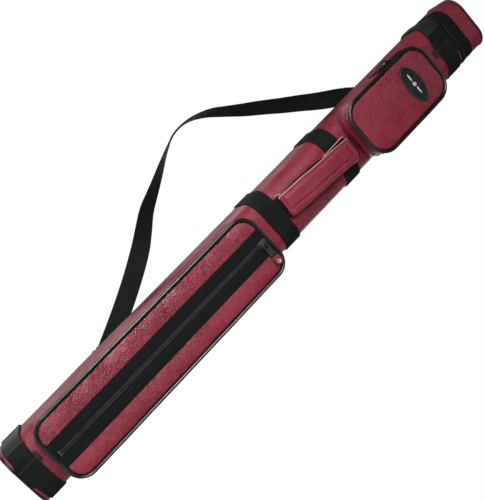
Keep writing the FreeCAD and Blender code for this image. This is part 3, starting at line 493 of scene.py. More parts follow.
class Shader:
    """A material with a Principled surface, and short ways to make its nodes."""

    def __init__(self, name):
        self.material = bpy.data.materials.new(name)
        self.material.use_nodes = True
        self.tree = self.material.node_tree
        self.tree.nodes.clear()
        output = self.node("ShaderNodeOutputMaterial")
        self.principled = self.node("ShaderNodeBsdfPrincipled")
        self.tree.links.new(self.principled.outputs[0], output.inputs[0])
        self.place = self.take(self.node("ShaderNodeTexCoord"), "Object")

    def node(self, kind, **settings):
        made = self.tree.nodes.new(kind)
        for key, value in settings.items():
            setattr(made, key, value)
        return made

    def take(self, node, output=0):
        return Signal(self, node.outputs[output])

    def feed(self, socket, value):
        """Links a signal, or sets a number or an RGB colour."""
        if isinstance(value, Signal):
            self.tree.links.new(value.socket, socket)
        else:
            socket.default_value = (*value, 1) if isinstance(value, tuple) else value

    def surface(self, **inputs):
        for name, value in inputs.items():
            self.feed(self.principled.inputs[name.replace("_", " ")], value)
        return self.material

    def calc(self, operation, *values):
        node = self.node("ShaderNodeMath", operation=operation)
        for socket, value in zip(node.inputs, values):
            self.feed(socket, value)
        return self.take(node)

    def absolute_sine(self, value):
        return self.calc("ABSOLUTE", self.calc("SINE", value))

    def texture(self, kind, settings, vector=None, **inputs):
        node = self.node(kind, **settings)
        for name, value in inputs.items():
            node.inputs[name].default_value = value
        self.feed(node.inputs["Vector"], vector or self.place)
        return node

    def noise(self, scale, detail=3.0, rough=0.55, distortion=0.0, output=0):
        return self.take(self.texture("ShaderNodeTexNoise", {}, Scale=scale, Detail=detail,
                                      Roughness=rough, Distortion=distortion), output)

    def voronoi(self, scale, feature="F1", vector=None, randomness=1.0):
        return self.texture("ShaderNodeTexVoronoi", {"feature": feature}, vector,
                            Scale=scale, Randomness=randomness)

    def ramp(self, value, stops):
        node = self.node("ShaderNodeValToRGB")
        for element, (position, color) in zip(node.color_ramp.elements, stops):
            element.position = position
            element.color = (*color, 1)
        self.feed(node.inputs[0], value)
        return self.take(node)

    def mix(self, factor, first, second):
        """Colour mix."""
        node = self.node("ShaderNodeMix", data_type="RGBA")
        for index, value in ((0, factor), (6, first), (7, second)):
            self.feed(node.inputs[index], value)
        return self.take(node, 2)

    def remap(self, value, span, to=(0, 1)):
        node = self.node("ShaderNodeMapRange")
        for socket, item in zip(node.inputs, (value, *span, *to)):
            self.feed(socket, item)
        return self.take(node)

    def bump(self, height, strength, distance, normal=None):
        """distance is in metres."""
        node = self.node("ShaderNodeBump")
        node.inputs["Strength"].default_value = strength
        node.inputs["Distance"].default_value = distance
        self.feed(node.inputs["Height"], height)
        if normal is not None:
            self.feed(node.inputs["Normal"], normal)
        return self.take(node)

    def weave_uv(self):
        """Lengths along and across a strip, in mm."""
        uv_map = self.take(self.node("ShaderNodeUVMap", uv_map="weave"))
        split = self.node("ShaderNodeSeparateXYZ")
        self.feed(split.inputs[0], uv_map)
        return self.take(split, 0), self.take(split, 1)


def srgb(code):
    """Linear colour of a hex code."""
    values = [int(code[i:i + 2], 16) / 255 for i in (0, 2, 4)]
    return tuple(x / 12.92 if x <= 0.04045 else ((x + 0.055) / 1.055) ** 2.4 for x in values)


def shade(color, gain, lift=0.0):
    return tuple(min(1, x * gain + lift) for x in color)


# ------------------------------------------------------------------ kinds of material
def leather(name, middle="7b1d30", dark="601122", light="9f4556",
            specular=0.33, grain=560.0, depth=1.0, rough=0.28):
    """Pebbled synthetic leather: rounded cells, creases between them, slow colour drift."""
    shader = Shader(name)
    middle, dark, light = srgb(middle), srgb(dark), srgb(light)
    warp = shader.noise(scale=160, detail=2, rough=0.5, output="Color")
    warped = shader.node("ShaderNodeMix", data_type="VECTOR")
    for index, value in ((0, 0.0018), (4, shader.place), (5, warp)):
        shader.feed(warped.inputs[index], value)
    place = shader.take(warped, 1)
    cell = shader.voronoi(grain, "F1", place, randomness=0.95)
    edge = shader.voronoi(grain, "DISTANCE_TO_EDGE", place, randomness=0.95)
    fine = shader.noise(scale=1700, detail=3, rough=0.6)
    slow = shader.noise(scale=11, detail=4, rough=0.6)
    drift = shader.noise(scale=85, detail=4, rough=0.6)
    crease = shader.remap(shader.take(edge, "Distance"), (0.0, 0.20))
    reach = shader.calc("MINIMUM", shader.take(cell, "Distance"), 0.9)
    dome = 1.0 - reach * reach
    # the grain is deeper in patches
    patchy = shader.noise(scale=26, detail=3, rough=0.55)
    patch = shader.remap(patchy, (0.42, 0.62), to=(0.30, 1.0))
    height = (dome * 1.0 + crease * 0.35) * patch + fine * 0.16

    color = shader.mix(shader.remap(slow, (0.32, 0.7)), dark, middle)
    color = shader.mix(shader.remap(drift, (0.45, 0.75)) * 0.12, color, light)
    # painted shade: the creases between the grain's cells are darkened
    color = shader.mix(shader.remap(crease, (0, 1), to=(0.26, 0)), color, shade(dark, 0.4))
    tint = shader.mix(shader.take(cell, "Color"), color, light)
    roughness = shader.remap(drift, (0.3, 0.7), to=(rough - 0.06, rough + 0.08))
    broad = shader.bump(drift, strength=0.08 * depth, distance=0.0012)
    return shader.surface(
        Base_Color=shader.mix(0.10, color, tint),
        Roughness=roughness + shader.remap(crease, (0, 1), to=(1, 0)) * 0.25,
        Specular_IOR_Level=specular,
        Normal=shader.bump(height, strength=0.9 * depth, distance=0.00062, normal=broad))


def webbing(name, base, light, rib=1.55, cross=1.15, rough=0.72, shine=0.25, depth=1.0):
    """Ribbed weave; rib and cross are its pitches along and across the strip, in mm."""
    shader = Shader(name)
    along, across = shader.weave_uv()
    fuzz = shader.noise(scale=2600, detail=3, rough=0.6)
    slow = shader.noise(scale=40, detail=3, rough=0.55)
    row = shader.calc("FLOOR", across / cross)
    odd = shader.calc("MODULO", shader.calc("ABSOLUTE", row), 2.0) * math.pi
    ribs = shader.absolute_sine((along * (TAU / rib) + odd) * 0.5)
    rows = shader.absolute_sine(across * (math.pi / cross))
    strand = shader.calc("SINE", across * (TAU * 3 / cross))
    height = shader.calc("POWER", ribs, 0.7) * shader.calc("POWER", rows, 0.5)
    height = height + strand * 0.07 + fuzz * 0.14
    # painted highlight and shade: raised threads are coloured lighter and the hollows of the
    # weave darker
    rib_light_and_shade = height * shader.remap(slow, (0.3, 0.7), to=(0.55, 1.0))
    return shader.surface(
        Base_Color=shader.mix(rib_light_and_shade, srgb(base), srgb(light)),
        Roughness=shader.remap(height, (0, 1.1), to=(rough + 0.14, rough - 0.1)),
        Specular_IOR_Level=0.04 + shine * 0.25,
        Normal=shader.bump(height, strength=0.75 * depth, distance=0.0003))


def vinyl(name, base, light, rough):
    shader = Shader(name)
    fine = shader.noise(scale=900, detail=3, rough=0.6)
    slow = shader.noise(scale=60, detail=3, rough=0.5)
    return shader.surface(
        Base_Color=shader.mix(shader.remap(slow, (0.35, 0.7)), srgb(base), srgb(light)),
        Roughness=shader.remap(fine, (0.3, 0.7), to=(rough - 0.06, rough + 0.1)),
        Specular_IOR_Level=0.5,
        Normal=shader.bump(fine, strength=0.25, distance=0.0001))


def foam(name, base, speck):
    """Closed-cell foam: fine pits and pale flecks."""
    shader = Shader(name)
    base = srgb(base)
    cells = shader.take(shader.voronoi(1500), "Distance")
    fine = shader.noise(scale=3200, detail=4, rough=0.7)
    flecks = shader.noise(scale=900, detail=5, rough=0.72)
    slow = shader.noise(scale=30, detail=2, rough=0.5)
    fleck = shader.ramp(flecks, [(0.5, (0, 0, 0)), (0.68, (1, 1, 1))])
    color = shader.mix(shader.remap(slow, (0.3, 0.7), to=(0, 0.5)), base, shade(base, 1.35))
    return shader.surface(
        Base_Color=shader.mix(fleck * 0.6, color, srgb(speck)),
        Roughness=0.93,
        Specular_IOR_Level=0.15,
        Normal=shader.bump(cells * 0.8 + fine * 0.5, strength=0.6, distance=0.0003))


def plastic(name, base, rough=0.38, metallic=0.0, specular=0.5, wear=None):
    """Moulded plastic or lacquered metal: orange peel, rubbed edges and faint scratches."""
    shader = Shader(name)
    base = srgb(base)
    wear = srgb(wear) if wear else shade(base, 3, 0.02)
    peel = shader.noise(scale=1400, detail=2, rough=0.5)
    smear = shader.noise(scale=120, detail=4, rough=0.6, distortion=0.6)
    bands = shader.texture("ShaderNodeTexWave", {"wave_type": "BANDS"},
                           Scale=300, Distortion=14, Detail=4)
    pointed = shader.take(shader.node("ShaderNodeNewGeometry"), "Pointiness")
    worn = (shader.remap(pointed, (0.515, 0.58))
            * shader.remap(smear, (0.35, 0.65), to=(0.2, 1.0)))
    color = shader.mix(shader.remap(smear, (0.35, 0.7)), base, shade(base, 1.5, 0.004))
    roughness = shader.remap(smear, (0.3, 0.7), to=(rough - 0.08, rough + 0.1))
    scratches = shader.remap(shader.take(bands, 1), (0.92, 1.0))
    return shader.surface(
        Base_Color=shader.mix(worn * 0.7, color, wear),
        Roughness=roughness + scratches * 0.12,
        Metallic=metallic,
        Specular_IOR_Level=specular,
        Normal=shader.bump(peel, strength=0.2, distance=0.00008))


def netting(name, base, light, pitch=1.5):
    """Spacer mesh: small round openings in staggered rows, pitch mm apart."""
    shader = Shader(name)
    base = srgb(base)
    along, across = shader.weave_uv()
    row = shader.calc("FLOOR", across / pitch)
    shift = shader.calc("MODULO", shader.calc("ABSOLUTE", row), 2.0) * (pitch / 2)
    cell_x = shader.calc("FRACT", (along + shift) / pitch) - 0.5
    cell_y = shader.calc("FRACT", across / pitch) - 0.5
    radius = shader.calc("SQRT", cell_x * cell_x + cell_y * cell_y)
    rim = shader.remap(radius, (0.2, 0.36))
    fuzz = shader.noise(scale=2400, detail=3, rough=0.6)
    thread = shader.mix(fuzz, base, srgb(light))
    # painted shade: the openings are coloured a darker copy of the thread
    return shader.surface(
        Base_Color=shader.mix(rim, shade(base, 0.3), thread),
        Roughness=0.85,
        Specular_IOR_Level=0.15,
        Normal=shader.bump(rim + fuzz * 0.3, strength=0.8, distance=0.0004))


LEATHER = leather("leatherette_burgundy")
LEATHER_FINE = leather("leatherette_burgundy_fine", grain=680.0, depth=0.8)
LEATHER_PEBBLED = leather("leatherette_burgundy_pebbled", grain=470.0, depth=1.5, rough=0.22,
                          specular=0.46)
# partly painted highlight: the pale pink of the raw leaf edges also stands for the highlight that
# lies along them
LEATHER_EDGE_AND_HIGHLIGHT = leather("leatherette_cut_edge_and_painted_highlight", "d3a5aa", "a8606c", "ecd9d8",
                       grain=1500.0, depth=0.6, rough=0.6)
WEBBING = webbing("webbing_black", "0c0e0e", "1b1e1e", shine=0.1)
WEBBING_OVERLAP = webbing("webbing_black_overlap", "111314", "26282a", rib=1.9, cross=1.4,
                          rough=0.5, shine=0.75, depth=0.7)
TAPE = webbing("zip_tape_black", "0b0b0c", "17181a", rib=0.8, cross=0.62, rough=0.8,
               shine=0.1, depth=0.55)
NETTING = netting("hinge_mesh_black", "17191a", "2f3233")
PIPING = vinyl("piping_black", "0b0b0a", "1a1814", rough=0.27)
# painted shade: near-black welt and flange strips that show as the seam groove inside each pocket
# cord and the cord's shadow on the wall
WELT_AND_SHADE = foam("welt_and_painted_shade_black", "060606", "0e0e0e")
COIL = plastic("coil_black", "0b0b0c", rough=0.5, specular=0.2)
# painted highlight: a lighter copy of the black coil, given to one row of each zip and to the
# coil threads
COIL_HIGHLIGHT = plastic("coil_grey_painted_highlight", "121314", rough=0.5, specular=0.2)
GUNMETAL = plastic("slider_gunmetal", "2c2e30", rough=0.3, metallic=0.85, wear="8e8f90")
STEEL = plastic("ring_blackened_steel", "34373a", rough=0.28, metallic=1.0, wear="a0a2a4")
PLASTIC = plastic("plastic_black", "0f1111", rough=0.42, specular=0.35)
FOAM = foam("foam_charcoal", "343638", "6a6d70")
TUBE = vinyl("tube_black", "0b0c0c", "141516", rough=0.6)
BOARD = foam("board_grey", "2a2a2b", "4a4a4a")
THREAD = webbing("thread_black", "141516", "2a2c2d", rib=0.5, cross=0.4)
LINING = foam("hook_lining_black", "0c0d0d", "1c1d1e")
THREAD_RED = plastic("thread_burgundy", "5a1020", rough=0.6)
BADGE = plastic("badge_black", "0b0f0f", rough=0.5, specular=0.3)
BADGE_GREY = plastic("badge_grey", "84888a", rough=0.6, specular=0.2)
BADGE_RIM = plastic("badge_rim_grey", "1d2121", rough=0.5, specular=0.25)
EYELET = plastic("eyelet_rose", "b98a90", rough=0.35, metallic=0.4)
BRIGHT = plastic("slider_bright", "6f7274", rough=0.26, metallic=1.0, wear="c8cacc")


def finish_cad(node, material):
    """Gives a CAD piece that stays its material."""
    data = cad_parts[node].data
    data.materials.clear()
    data.materials.append(material)
    return data


for node_name, finish in (
        ("foam_insert", FOAM), ("lid_foam", FOAM), ("cue_tubes", TUBE), ("body_shell", BOARD),
        ("lid_shell", BOARD), ("base_board", BOARD), ("base_pad", FOAM)):
    finish_cad(node_name, finish)

# ------------------------------------------------------------------ case skin
PRESSED = [(BASE_LOW + 1, BASE_HIGH - 1), (LOWER_LOW + 1, LOWER_HIGH - 1),
           (UPPER_LOW + 1, UPPER_HIGH - 1), (NECK_LOW + 1, NECK_HIGH - 1)]


def outer_only(swell):
    """Leaves the last two points of each section, the skin's inner face, in place."""
    swell[:, -2:] = 0
    return swell


def skin_swell(arc, z):
    """Soft creases, ripples beside the bands that press on the skin, and calm ends."""
    out = 0.16 * wave(arc * 0.05, z * 0.028, 3) + 0.09 * wave(arc * 0.16, z * 0.11, 4)
    out = out + 0.10 * np.sin(arc * 0.22 + 1.4 * np.sin(z * 0.012)) * np.sin(z * 0.021 + 1.0)
    for low, high in PRESSED:
        gap = np.maximum(0, np.maximum(low - z, z - high))
        near = np.exp(-gap / 5.0)
        ripple = 0.22 * np.sin(arc * 0.55 + z * 0.05) * np.exp(-gap / 9.0)
        out = out * (1 - near) - 0.12 * near + ripple * (1 - near) * 0.6
    ends = smooth(z, SKIN_LOW, SKIN_LOW + 3) * smooth(-z, -SKIN_HIGH, -SKIN_HIGH + 3)
    return outer_only(out * ends)


def case_skin():
    loop = [(-0.35, SKIN_LOW)]
    loop += [(0.0, z) for z in np.arange(SKIN_LOW + 0.4, SKIN_HIGH - 0.3, 2.6)]
    loop += [(-0.35, SKIN_HIGH), (-1.15, SKIN_HIGH), (-1.15, SKIN_LOW)]
    add("case_skin", case_ring(loop, step=1.6, swell=skin_swell), LEATHER, "leatherette",
        "body_cover")


def back_seam(x=-14, width=9.0, row_offset=2.9):
    """Overlapped seam down the back, with a row of stitches near each edge."""
    (point,), (normal,) = section([arc_at(x, front=False)])
    z = np.arange(BASE_HIGH + 6, NECK_LOW - 6, 3.0)
    path = np.c_[point[0] + 0.35 * np.sin(z * 0.02), np.full(len(z), point[1] - 0.28), z]
    strip = sweep(path, [*normal, 0], [-normal[1], normal[0], 0], bar_loop(0.9, width, 0.4),
                  closed=False)
    add("back_seam_strip", strip, LEATHER_FINE, "leatherette")
    rows = [path + (offset, 0.92, 0) for offset in (-row_offset, row_offset)]
    stitches("back_seam_stitches", rows, 3.6, (2.5, 0.62, 0.5), THREAD_RED, "leatherette",
             out=BACK)


case_skin()
back_seam()


# ------------------------------------------------------------------ webbing bands
def band(name, low, high, node, seed, material=WEBBING, start=None, end=None,
         base=0.12, thick=1.6, rise=None):
    """A band round the case, base mm off its surface, with raised selvedges."""
    middle, width = (low + high) / 2, high - low

    def swell(arc, z):
        part = (z - middle) / (width / 2)
        selvedge = 0.16 * bell(abs(part), 0.93, 0.05)
        return 0.14 * wave(arc * 0.09, z * 0.05, seed) + 0.18 * (1 - part * part) + selvedge

    def wander(arc, z):
        if rise:
            return rise(arc, z) + 0.25 * wave(arc * 0.07, z * 0.01, seed + 7)
        return 0.35 * wave(arc * 0.06, z * 0.01, seed + 7)

    loop = bar_loop(thick, width, 0.6) + (base, middle)
    add(name, case_ring(loop, start, end, rise=wander, swell=swell), material, "webbing", node)


def left_side(arc):
    """0 on the front and right, 1 from the back centre round the left side."""
    arc = np.mod(arc, PERIMETER)
    return (smooth(arc, PERIMETER * 0.42, PERIMETER * 0.5)
            * (1 - smooth(arc, PERIMETER - 78, PERIMETER - 4)))


def base_rise(arc, z):
    """The base band climbs on the left and its lower edge sags at the front centre."""
    upper = smooth(z, BASE_LOW, BASE_HIGH)
    left = left_side(arc)
    signed = np.mod(arc + PERIMETER / 2, PERIMETER) - PERIMETER / 2
    sag = -2.3 * smooth(signed, -24, -14) * (1 - smooth(signed, 8, 16))
    lift = 1.4 * smooth(signed, 14, 26) * (1 - smooth(signed, 60, 90))
    return upper * (1.0 + 7.5 * left) + (1 - upper) * (sag + 2.2 * left + lift)


def neck_rise(arc, z):
    """The neck band sags right of the front centre; its lower edge is drawn up on the left."""
    sag = smooth(arc, 9, 26) * (1 - smooth(arc, 70, 110))
    drawn = 14.0 * left_side(arc) * (1 - smooth(z, NECK_LOW, NECK_HIGH))
    return drawn - sag * (3.0 * smooth(z, NECK_LOW + 6, NECK_HIGH) + 0.8)


base_gap = arc_at(-10)
band("base_band_webbing", BASE_LOW, BASE_HIGH, "base_band", 21,
     start=base_gap + 1.0, end=base_gap + PERIMETER - 1.0, rise=base_rise)
band("handle_band_upper_webbing", UPPER_LOW, UPPER_HIGH, "handle_band_upper", 22)
band("handle_band_lower_webbing", LOWER_LOW, LOWER_HIGH, "handle_band_lower", 23)
band("neck_band_webbing", NECK_LOW, NECK_HIGH, "neck_band", 24,
     start=0.75, end=PERIMETER - 0.75, rise=neck_rise)
# the overlaps run round the left side, between the same x at the back and the front
band("neck_band_overlap", NECK_LOW + 0.5, NECK_HIGH + 0.7, "neck_band_tail", 25,
     WEBBING_OVERLAP, start=arc_at(-24.5, front=False) % PERIMETER,
     end=PERIMETER + arc_at(-24.5), base=1.6, thick=1.2, rise=neck_rise)
band("base_band_overlap", BASE_LOW + 0.6, BASE_HIGH - 0.6, "base_band_tail", 26,
     WEBBING_OVERLAP, start=arc_at(-31, front=False) % PERIMETER,
     end=PERIMETER + arc_at(-31), base=1.5, thick=1.1, rise=base_rise)


def neck_band_stitches(x=-30, width=7, out=3.35, margin=2.2):
    middle = PERIMETER + arc_at(x)
    left, right = middle - width / 2, middle + width / 2
    low, high = NECK_LOW + margin, NECK_HIGH - margin
    lines = []
    for line in box_cross([(left, low), (right, low), (right, high), (left, high)],
                          last=(3, 1)):
        points, normals = section(line[:, 0])
        lines.append(raised(points + normals * out, line[:, 1]))
    stitches("neck_band_stitches", lines, 2.6, (2.0, 0.6, 0.5), THREAD, "webbing")


neck_band_stitches()


# ------------------------------------------------------------------ keepers on the front
def soft_tab(name, size, place, node="", radius=1.6, bulge=0.3):
    """A small moulded tab facing the front: size (x, z, thick), with a raised lip."""
    width, height, thick = size
    points, normals, _, _ = rounded_rect(width, height, radius, 40)
    # outline offset, distance out
    profile = ((0.0, 0.0), (0.0, thick * 0.6), (-0.25, thick * 0.9), (-0.7, thick),
               (-1.2, thick + 0.02), (-1.45, thick - bulge))
    rings = [upright(points + normals * offset, -out) + place for offset, out in profile]
    add(name, stack(rings), PLASTIC, "black_plastic", node, sharp=35)


keeper = box("neck_keeper")
soft_tab("neck_keeper_tab", (13, 7.4, 1.5), (0, keeper.high[1] + 0.02, keeper.mid[2] + 0.2),
         "neck_keeper")
keeper = box("base_keeper")
keeper_x, keeper_y = keeper.mid[0], keeper.high[1] + 0.02
soft_tab("base_keeper_upper", (14, 5.2, 1.6), (keeper_x, keeper_y, keeper.high[2] - 2.6),
         "base_keeper")
soft_tab("base_keeper_lower", (13, 2.4, 1.3), (keeper_x, keeper_y, keeper.low[2] + 1.0),
         radius=0.9, bulge=0.1)
soft_tab("base_keeper_web", (1.3, keeper.size[2] - 2, 1.3), (keeper_x, keeper_y, keeper.mid[2]),
         radius=0.3, bulge=-0.02)


# ------------------------------------------------------------------ rims and end panels
def rim_cord(name, node, body, out):
    loop = circle_loop(1.4, 14) + (out, box(node).mid[2])
    ring = case_ring(loop, step=1.2,
                     swell=lambda arc, z: 0.08 * wave(arc * 0.2, z * 0, 31),
                     rise=lambda arc, z: 0.12 * wave(arc * 0.08, z * 0, 32))
    add(name, ring, PIPING, "piping", node, body)


def end_panel(name, node, body, facing, edge_z, crown):
    """Crowned leather end panel; facing is 1 for up and -1 for down."""
    # scale of the ring, part of the crown reached
    profile = ((1.0, 0.0), (0.985, 0.30), (0.955, 0.62), (0.90, 0.82), (0.8, 0.93),
               (0.65, 0.98), (0.5, 1.0), (0.34, 1.0), (0.18, 1.0))
    count = 160
    plan = section(np.arange(count) / count * PERIMETER)[0] * (HALF - 1.6) / HALF
    rings = []
    for scale, part in profile:
        ring = plan * scale
        ripple = 0.12 * wave(ring[:, 0] * 0.16, ring[:, 1] * 0.16, 41) * (1 - scale ** 4)
        rings.append(raised(ring, edge_z + facing * (crown * part + ripple)))
    inner = (len(profile) - 1) * count
    centre = len(profile) * count
    under = centre + 1
    points = rings + [[(0, 0, edge_z + facing * crown)], raised(plan, edge_z - facing * 1.6)]
    faces = quads(len(profile), count)[:, FLIP].tolist()
    faces += [[inner + i, inner + (i + 1) % count, centre] for i in range(count)]
    for i in range(count):
        j = (i + 1) % count
        faces.append([i, j, under + j, under + i])
    faces.append([under + i for i in range(count)])
    add(name, (np.vstack(points), faces, None), LEATHER, "leatherette", node, body)


rim_cord("base_rim_piping", "base_piping", "root", out=-0.8)
rim_cord("lid_rim_piping", "lid_piping", "lid", out=0.05)
lid_edge = LID_SKIN_HIGH + 0.6
end_panel("lid_top_leather", "lid_top_panel", "lid", 1, lid_edge, LID_TOP - LID_SKIN_HIGH - 0.6)
end_panel("base_end_leather", "base_cap", "root", -1, 1.4, 1.4)


# ------------------------------------------------------------------ lid skin
def lid_swell(arc, z):
    part = np.clip((z - LID_SKIN_LOW) / (LID_SKIN_HIGH - LID_SKIN_LOW), 0, 1)
    return outer_only(0.2 * wave(arc * 0.07, z * 0.08, 51) + 0.25 * np.sin(part * math.pi))


def lid_skin():
    low, high = LID_SKIN_LOW - 0.8, LID_SKIN_HIGH + 0.2
    loop = [(-0.3, low)]
    loop += [(0.0, z) for z in np.linspace(LID_SKIN_LOW - 0.6, LID_SKIN_HIGH - 0.2, 12)]
    loop += [(-0.4, high), (-1.15, high), (-1.15, low)]
    add("lid_skin", case_ring(loop, step=1.6, swell=lid_swell), LEATHER, "leatherette",
        "lid_cover", "lid")


lid_skin()

# ------------------------------------------------------------------ closing zip round the lid
HINGE_WIDTH = 40.0
# the zip runs from the hinge's left end, round the front, to its right end
ZIP_START = arc_at(-HINGE_WIDTH / 2 - 1, front=False) % PERIMETER
ZIP_END = arc_at(HINGE_WIDTH / 2 + 1, front=False) % PERIMETER + PERIMETER


def lid_zip_cloth():
    """The lid's tape: a fold near its low edge, the flat, and a rolled upper edge."""
    low, high = LID_TAPE_LOW, LID_TAPE_HIGH
    loop = [(-1.1, low), (-0.2, low - 0.2), (0.25, low + 0.1), (0.55, low + 0.7),
            (0.42, low + 2.2), (0.3, low + 3.6), (0.34, low + 6), (0.36, low + 9),
            (0.38, high - 3.4), (0.46, high - 1.4), (0.6, high - 0.2), (0.55, high + 0.5),
            (0.2, high + 0.85), (-0.2, high + 0.7), (-1.1, high)]
    cloth = case_ring(loop, swell=lambda arc, z: 0.12 * wave(arc * 0.1, z * 0.12, 61),
                      rise=lambda arc, z: 0.3 * wave(arc * 0.07, z * 0, 62))
    add("lid_zip_tape_cloth", cloth, TAPE, "zip_tape", "lid_zip_tape", "lid")


def neck_zip_cloth():
    low, high = height_span("neck_zip_tape")
    loop = [(-1.1, low - 2.4), (0.25, low - 2.4), (0.35, low), (0.5, high - 0.9),
            (0.3, high - 0.15), (-0.2, high + 0.05), (-1.1, high)]
    cloth = case_ring(loop, swell=lambda arc, z: 0.1 * wave(arc * 0.1, z * 0.12, 63))
    add("neck_zip_tape_cloth", cloth, TAPE, "zip_tape", "neck_zip_tape")


def closing_coil(name, node, body, z, phase, material, pitch=1.75):
    points, normals = section(np.arange(ZIP_START + phase, ZIP_END, pitch))
    scatter(name, TOOTH, raised(points + normals * 0.35, z), UP, raised(normals),
            (1.55, 0.95, 1.5), material, "zip_coil", replaces=node, body=body)


def lid_tape_stitches(name, z, out):
    points, normals = section(np.arange(0, PERIMETER, 1.0))
    line = raised(points + normals * out, z)
    stitches(name, [np.vstack([line, line[:1]])], 3.0, (2.1, 0.5, 0.42), THREAD, "zip_tape",
             body="lid")


lid_zip_cloth()
neck_zip_cloth()
# painted highlight: the neck coil takes the lighter copy of the coil
closing_coil("neck_zip_coil", "neck_zip_teeth", "root", Z_SPLIT - 0.86, 0.0, COIL_HIGHLIGHT)
closing_coil("lid_zip_coil", "lid_zip_teeth", "lid", Z_SPLIT + 0.86, 0.875, COIL)
lid_tape_stitches("lid_tape_stitches_top", LID_TAPE_HIGH - 1.6, 0.52)
lid_tape_stitches("lid_tape_stitches_low", LID_TAPE_LOW + 4.6, 0.4)

# ------------------------------------------------------------------ cloth hinge at the back
# fixed body, moving body, start and end of the bend in metres
HINGE_BEND = ("root", "lid", (0, 0.042, 0.7845), (0, 0.042, 0.7915))


def hinge_y(x, z):
    """The hinge stands proud in a fold at the split and falls away past the flat back."""
    return HALF + 0.75 + 1.0 * bell(z, Z_SPLIT, 3.2) - round_off(HALF - abs(x), CORNER)


def hinge_cloth():
    half = HINGE_WIDTH / 2
    z, x = np.meshgrid(np.linspace(NECK_HIGH - 3, LID_TAPE_HIGH - 0.8, 41),
                       np.linspace(-half, half, 33), indexing="ij")
    y = hinge_y(x, z) + 0.15 * wave(x * 0.2, z * 0.2, 71) - 0.25 * (abs(x) / half) ** 6
    add("hinge_cloth", sheet(np.stack([x, y, z], 2), 0.8 * FRONT), NETTING, "zip_tape",
        "hinge_panel_lower hinge_panel_upper", HINGE_BEND)


def hinge_strip(name, x, width, thick, top, material, out, node=""):
    z = np.arange(NECK_HIGH - 2, top + 0.01, 0.6)
    path = np.c_[np.full(len(z), x), hinge_y(x, z) + out, z]
    strip = sweep(path, BACK, RIGHT, bar_loop(thick, width, 0.4), closed=False)
    add(name, strip, material, "webbing", node, HINGE_BEND)


hinge_cloth()
hinge_strip("hinge_webbing_tab", 0.0, 10.0, 1.1, LID_TAPE_HIGH - 2.5, WEBBING, 0.05, "hinge_tab")
for side, side_name in ((-1, "left"), (1, "right")):
    hinge_strip("hinge_binding_" + side_name, side * (HINGE_WIDTH / 2 - 0.9), 2.2, 1.3,
                LID_TAPE_HIGH - 0.6, TAPE, -0.15)


# ------------------------------------------------------------------ pocket front panels
SIM_SCALE = 0.01        # mm to solver units: the sheet is solved at ten times its size
SIM_FRAMES = 26
SIM_LIMIT = 4.0         # largest offset kept, mm


def drape(grid, pinned, target, push):
    """Offsets of a cloth sheet held at its pinned points and filled by pressure.

    They are scaled so that the fullest part stands target mm proud.
    """
    rows, columns, _ = grid.shape
    data = bpy.data.meshes.new("sim")
    faces = quads(rows, columns, wrap_columns=False)[:, FLIP]
    data.from_pydata((grid.reshape(-1, 3) * SIM_SCALE).tolist(), [], faces.tolist())
    cloth = bpy.data.objects.new("sim", data)
    scene = bpy.context.scene
    scene.collection.objects.link(cloth)
    if data.polygons[len(data.polygons) // 2].normal.y > 0:
        data.flip_normals()
    group = cloth.vertex_groups.new(name="pin")
    group.add(np.nonzero(pinned.ravel())[0].tolist(), 1.0, "REPLACE")
    modifier = cloth.modifiers.new("cloth", "CLOTH")
    settings = modifier.settings
    for key, value in dict(
            quality=6, mass=0.4,
            tension_stiffness=18, compression_stiffness=18, shear_stiffness=8,
            bending_stiffness=1.0,
            tension_damping=12, compression_damping=12, shear_damping=12, air_damping=4,
            vertex_group_mass="pin",
            use_pressure=True, uniform_pressure_force=push,
            shrink_min=-0.02).items():
        setattr(settings, key, value)
    settings.effector_weights.gravity = 0
    modifier.collision_settings.use_collision = False
    modifier.point_cache.frame_start = 1
    modifier.point_cache.frame_end = SIM_FRAMES
    for i in range(1, SIM_FRAMES + 1):
        scene.frame_set(i)
    solved = cloth.evaluated_get(bpy.context.evaluated_depsgraph_get())
    flat = np.zeros(len(solved.data.vertices) * 3)
    solved.data.vertices.foreach_get("co", flat)
    offsets = flat.reshape(rows, columns, 3) / SIM_SCALE - grid
    bpy.data.objects.remove(cloth)
    bpy.data.meshes.remove(data)
    scene.frame_set(1)
    offsets[~np.isfinite(offsets)] = 0
    fullest = np.percentile(-offsets[:, :, 1], 92)
    if fullest > 0.05:
        offsets = offsets * (target / fullest)
    return np.clip(offsets, -SIM_LIMIT, SIM_LIMIT)


def depth_inside(x, z, width, height, radius):
    """Distance inward from a rounded rectangle's edge."""
    past_x, past_z = abs(x) - (width / 2 - radius), abs(z) - (height / 2 - radius)
    outside = np.hypot(np.maximum(past_x, 0), np.maximum(past_z, 0))
    return -(outside + np.minimum(np.maximum(past_x, past_z), 0) - radius)


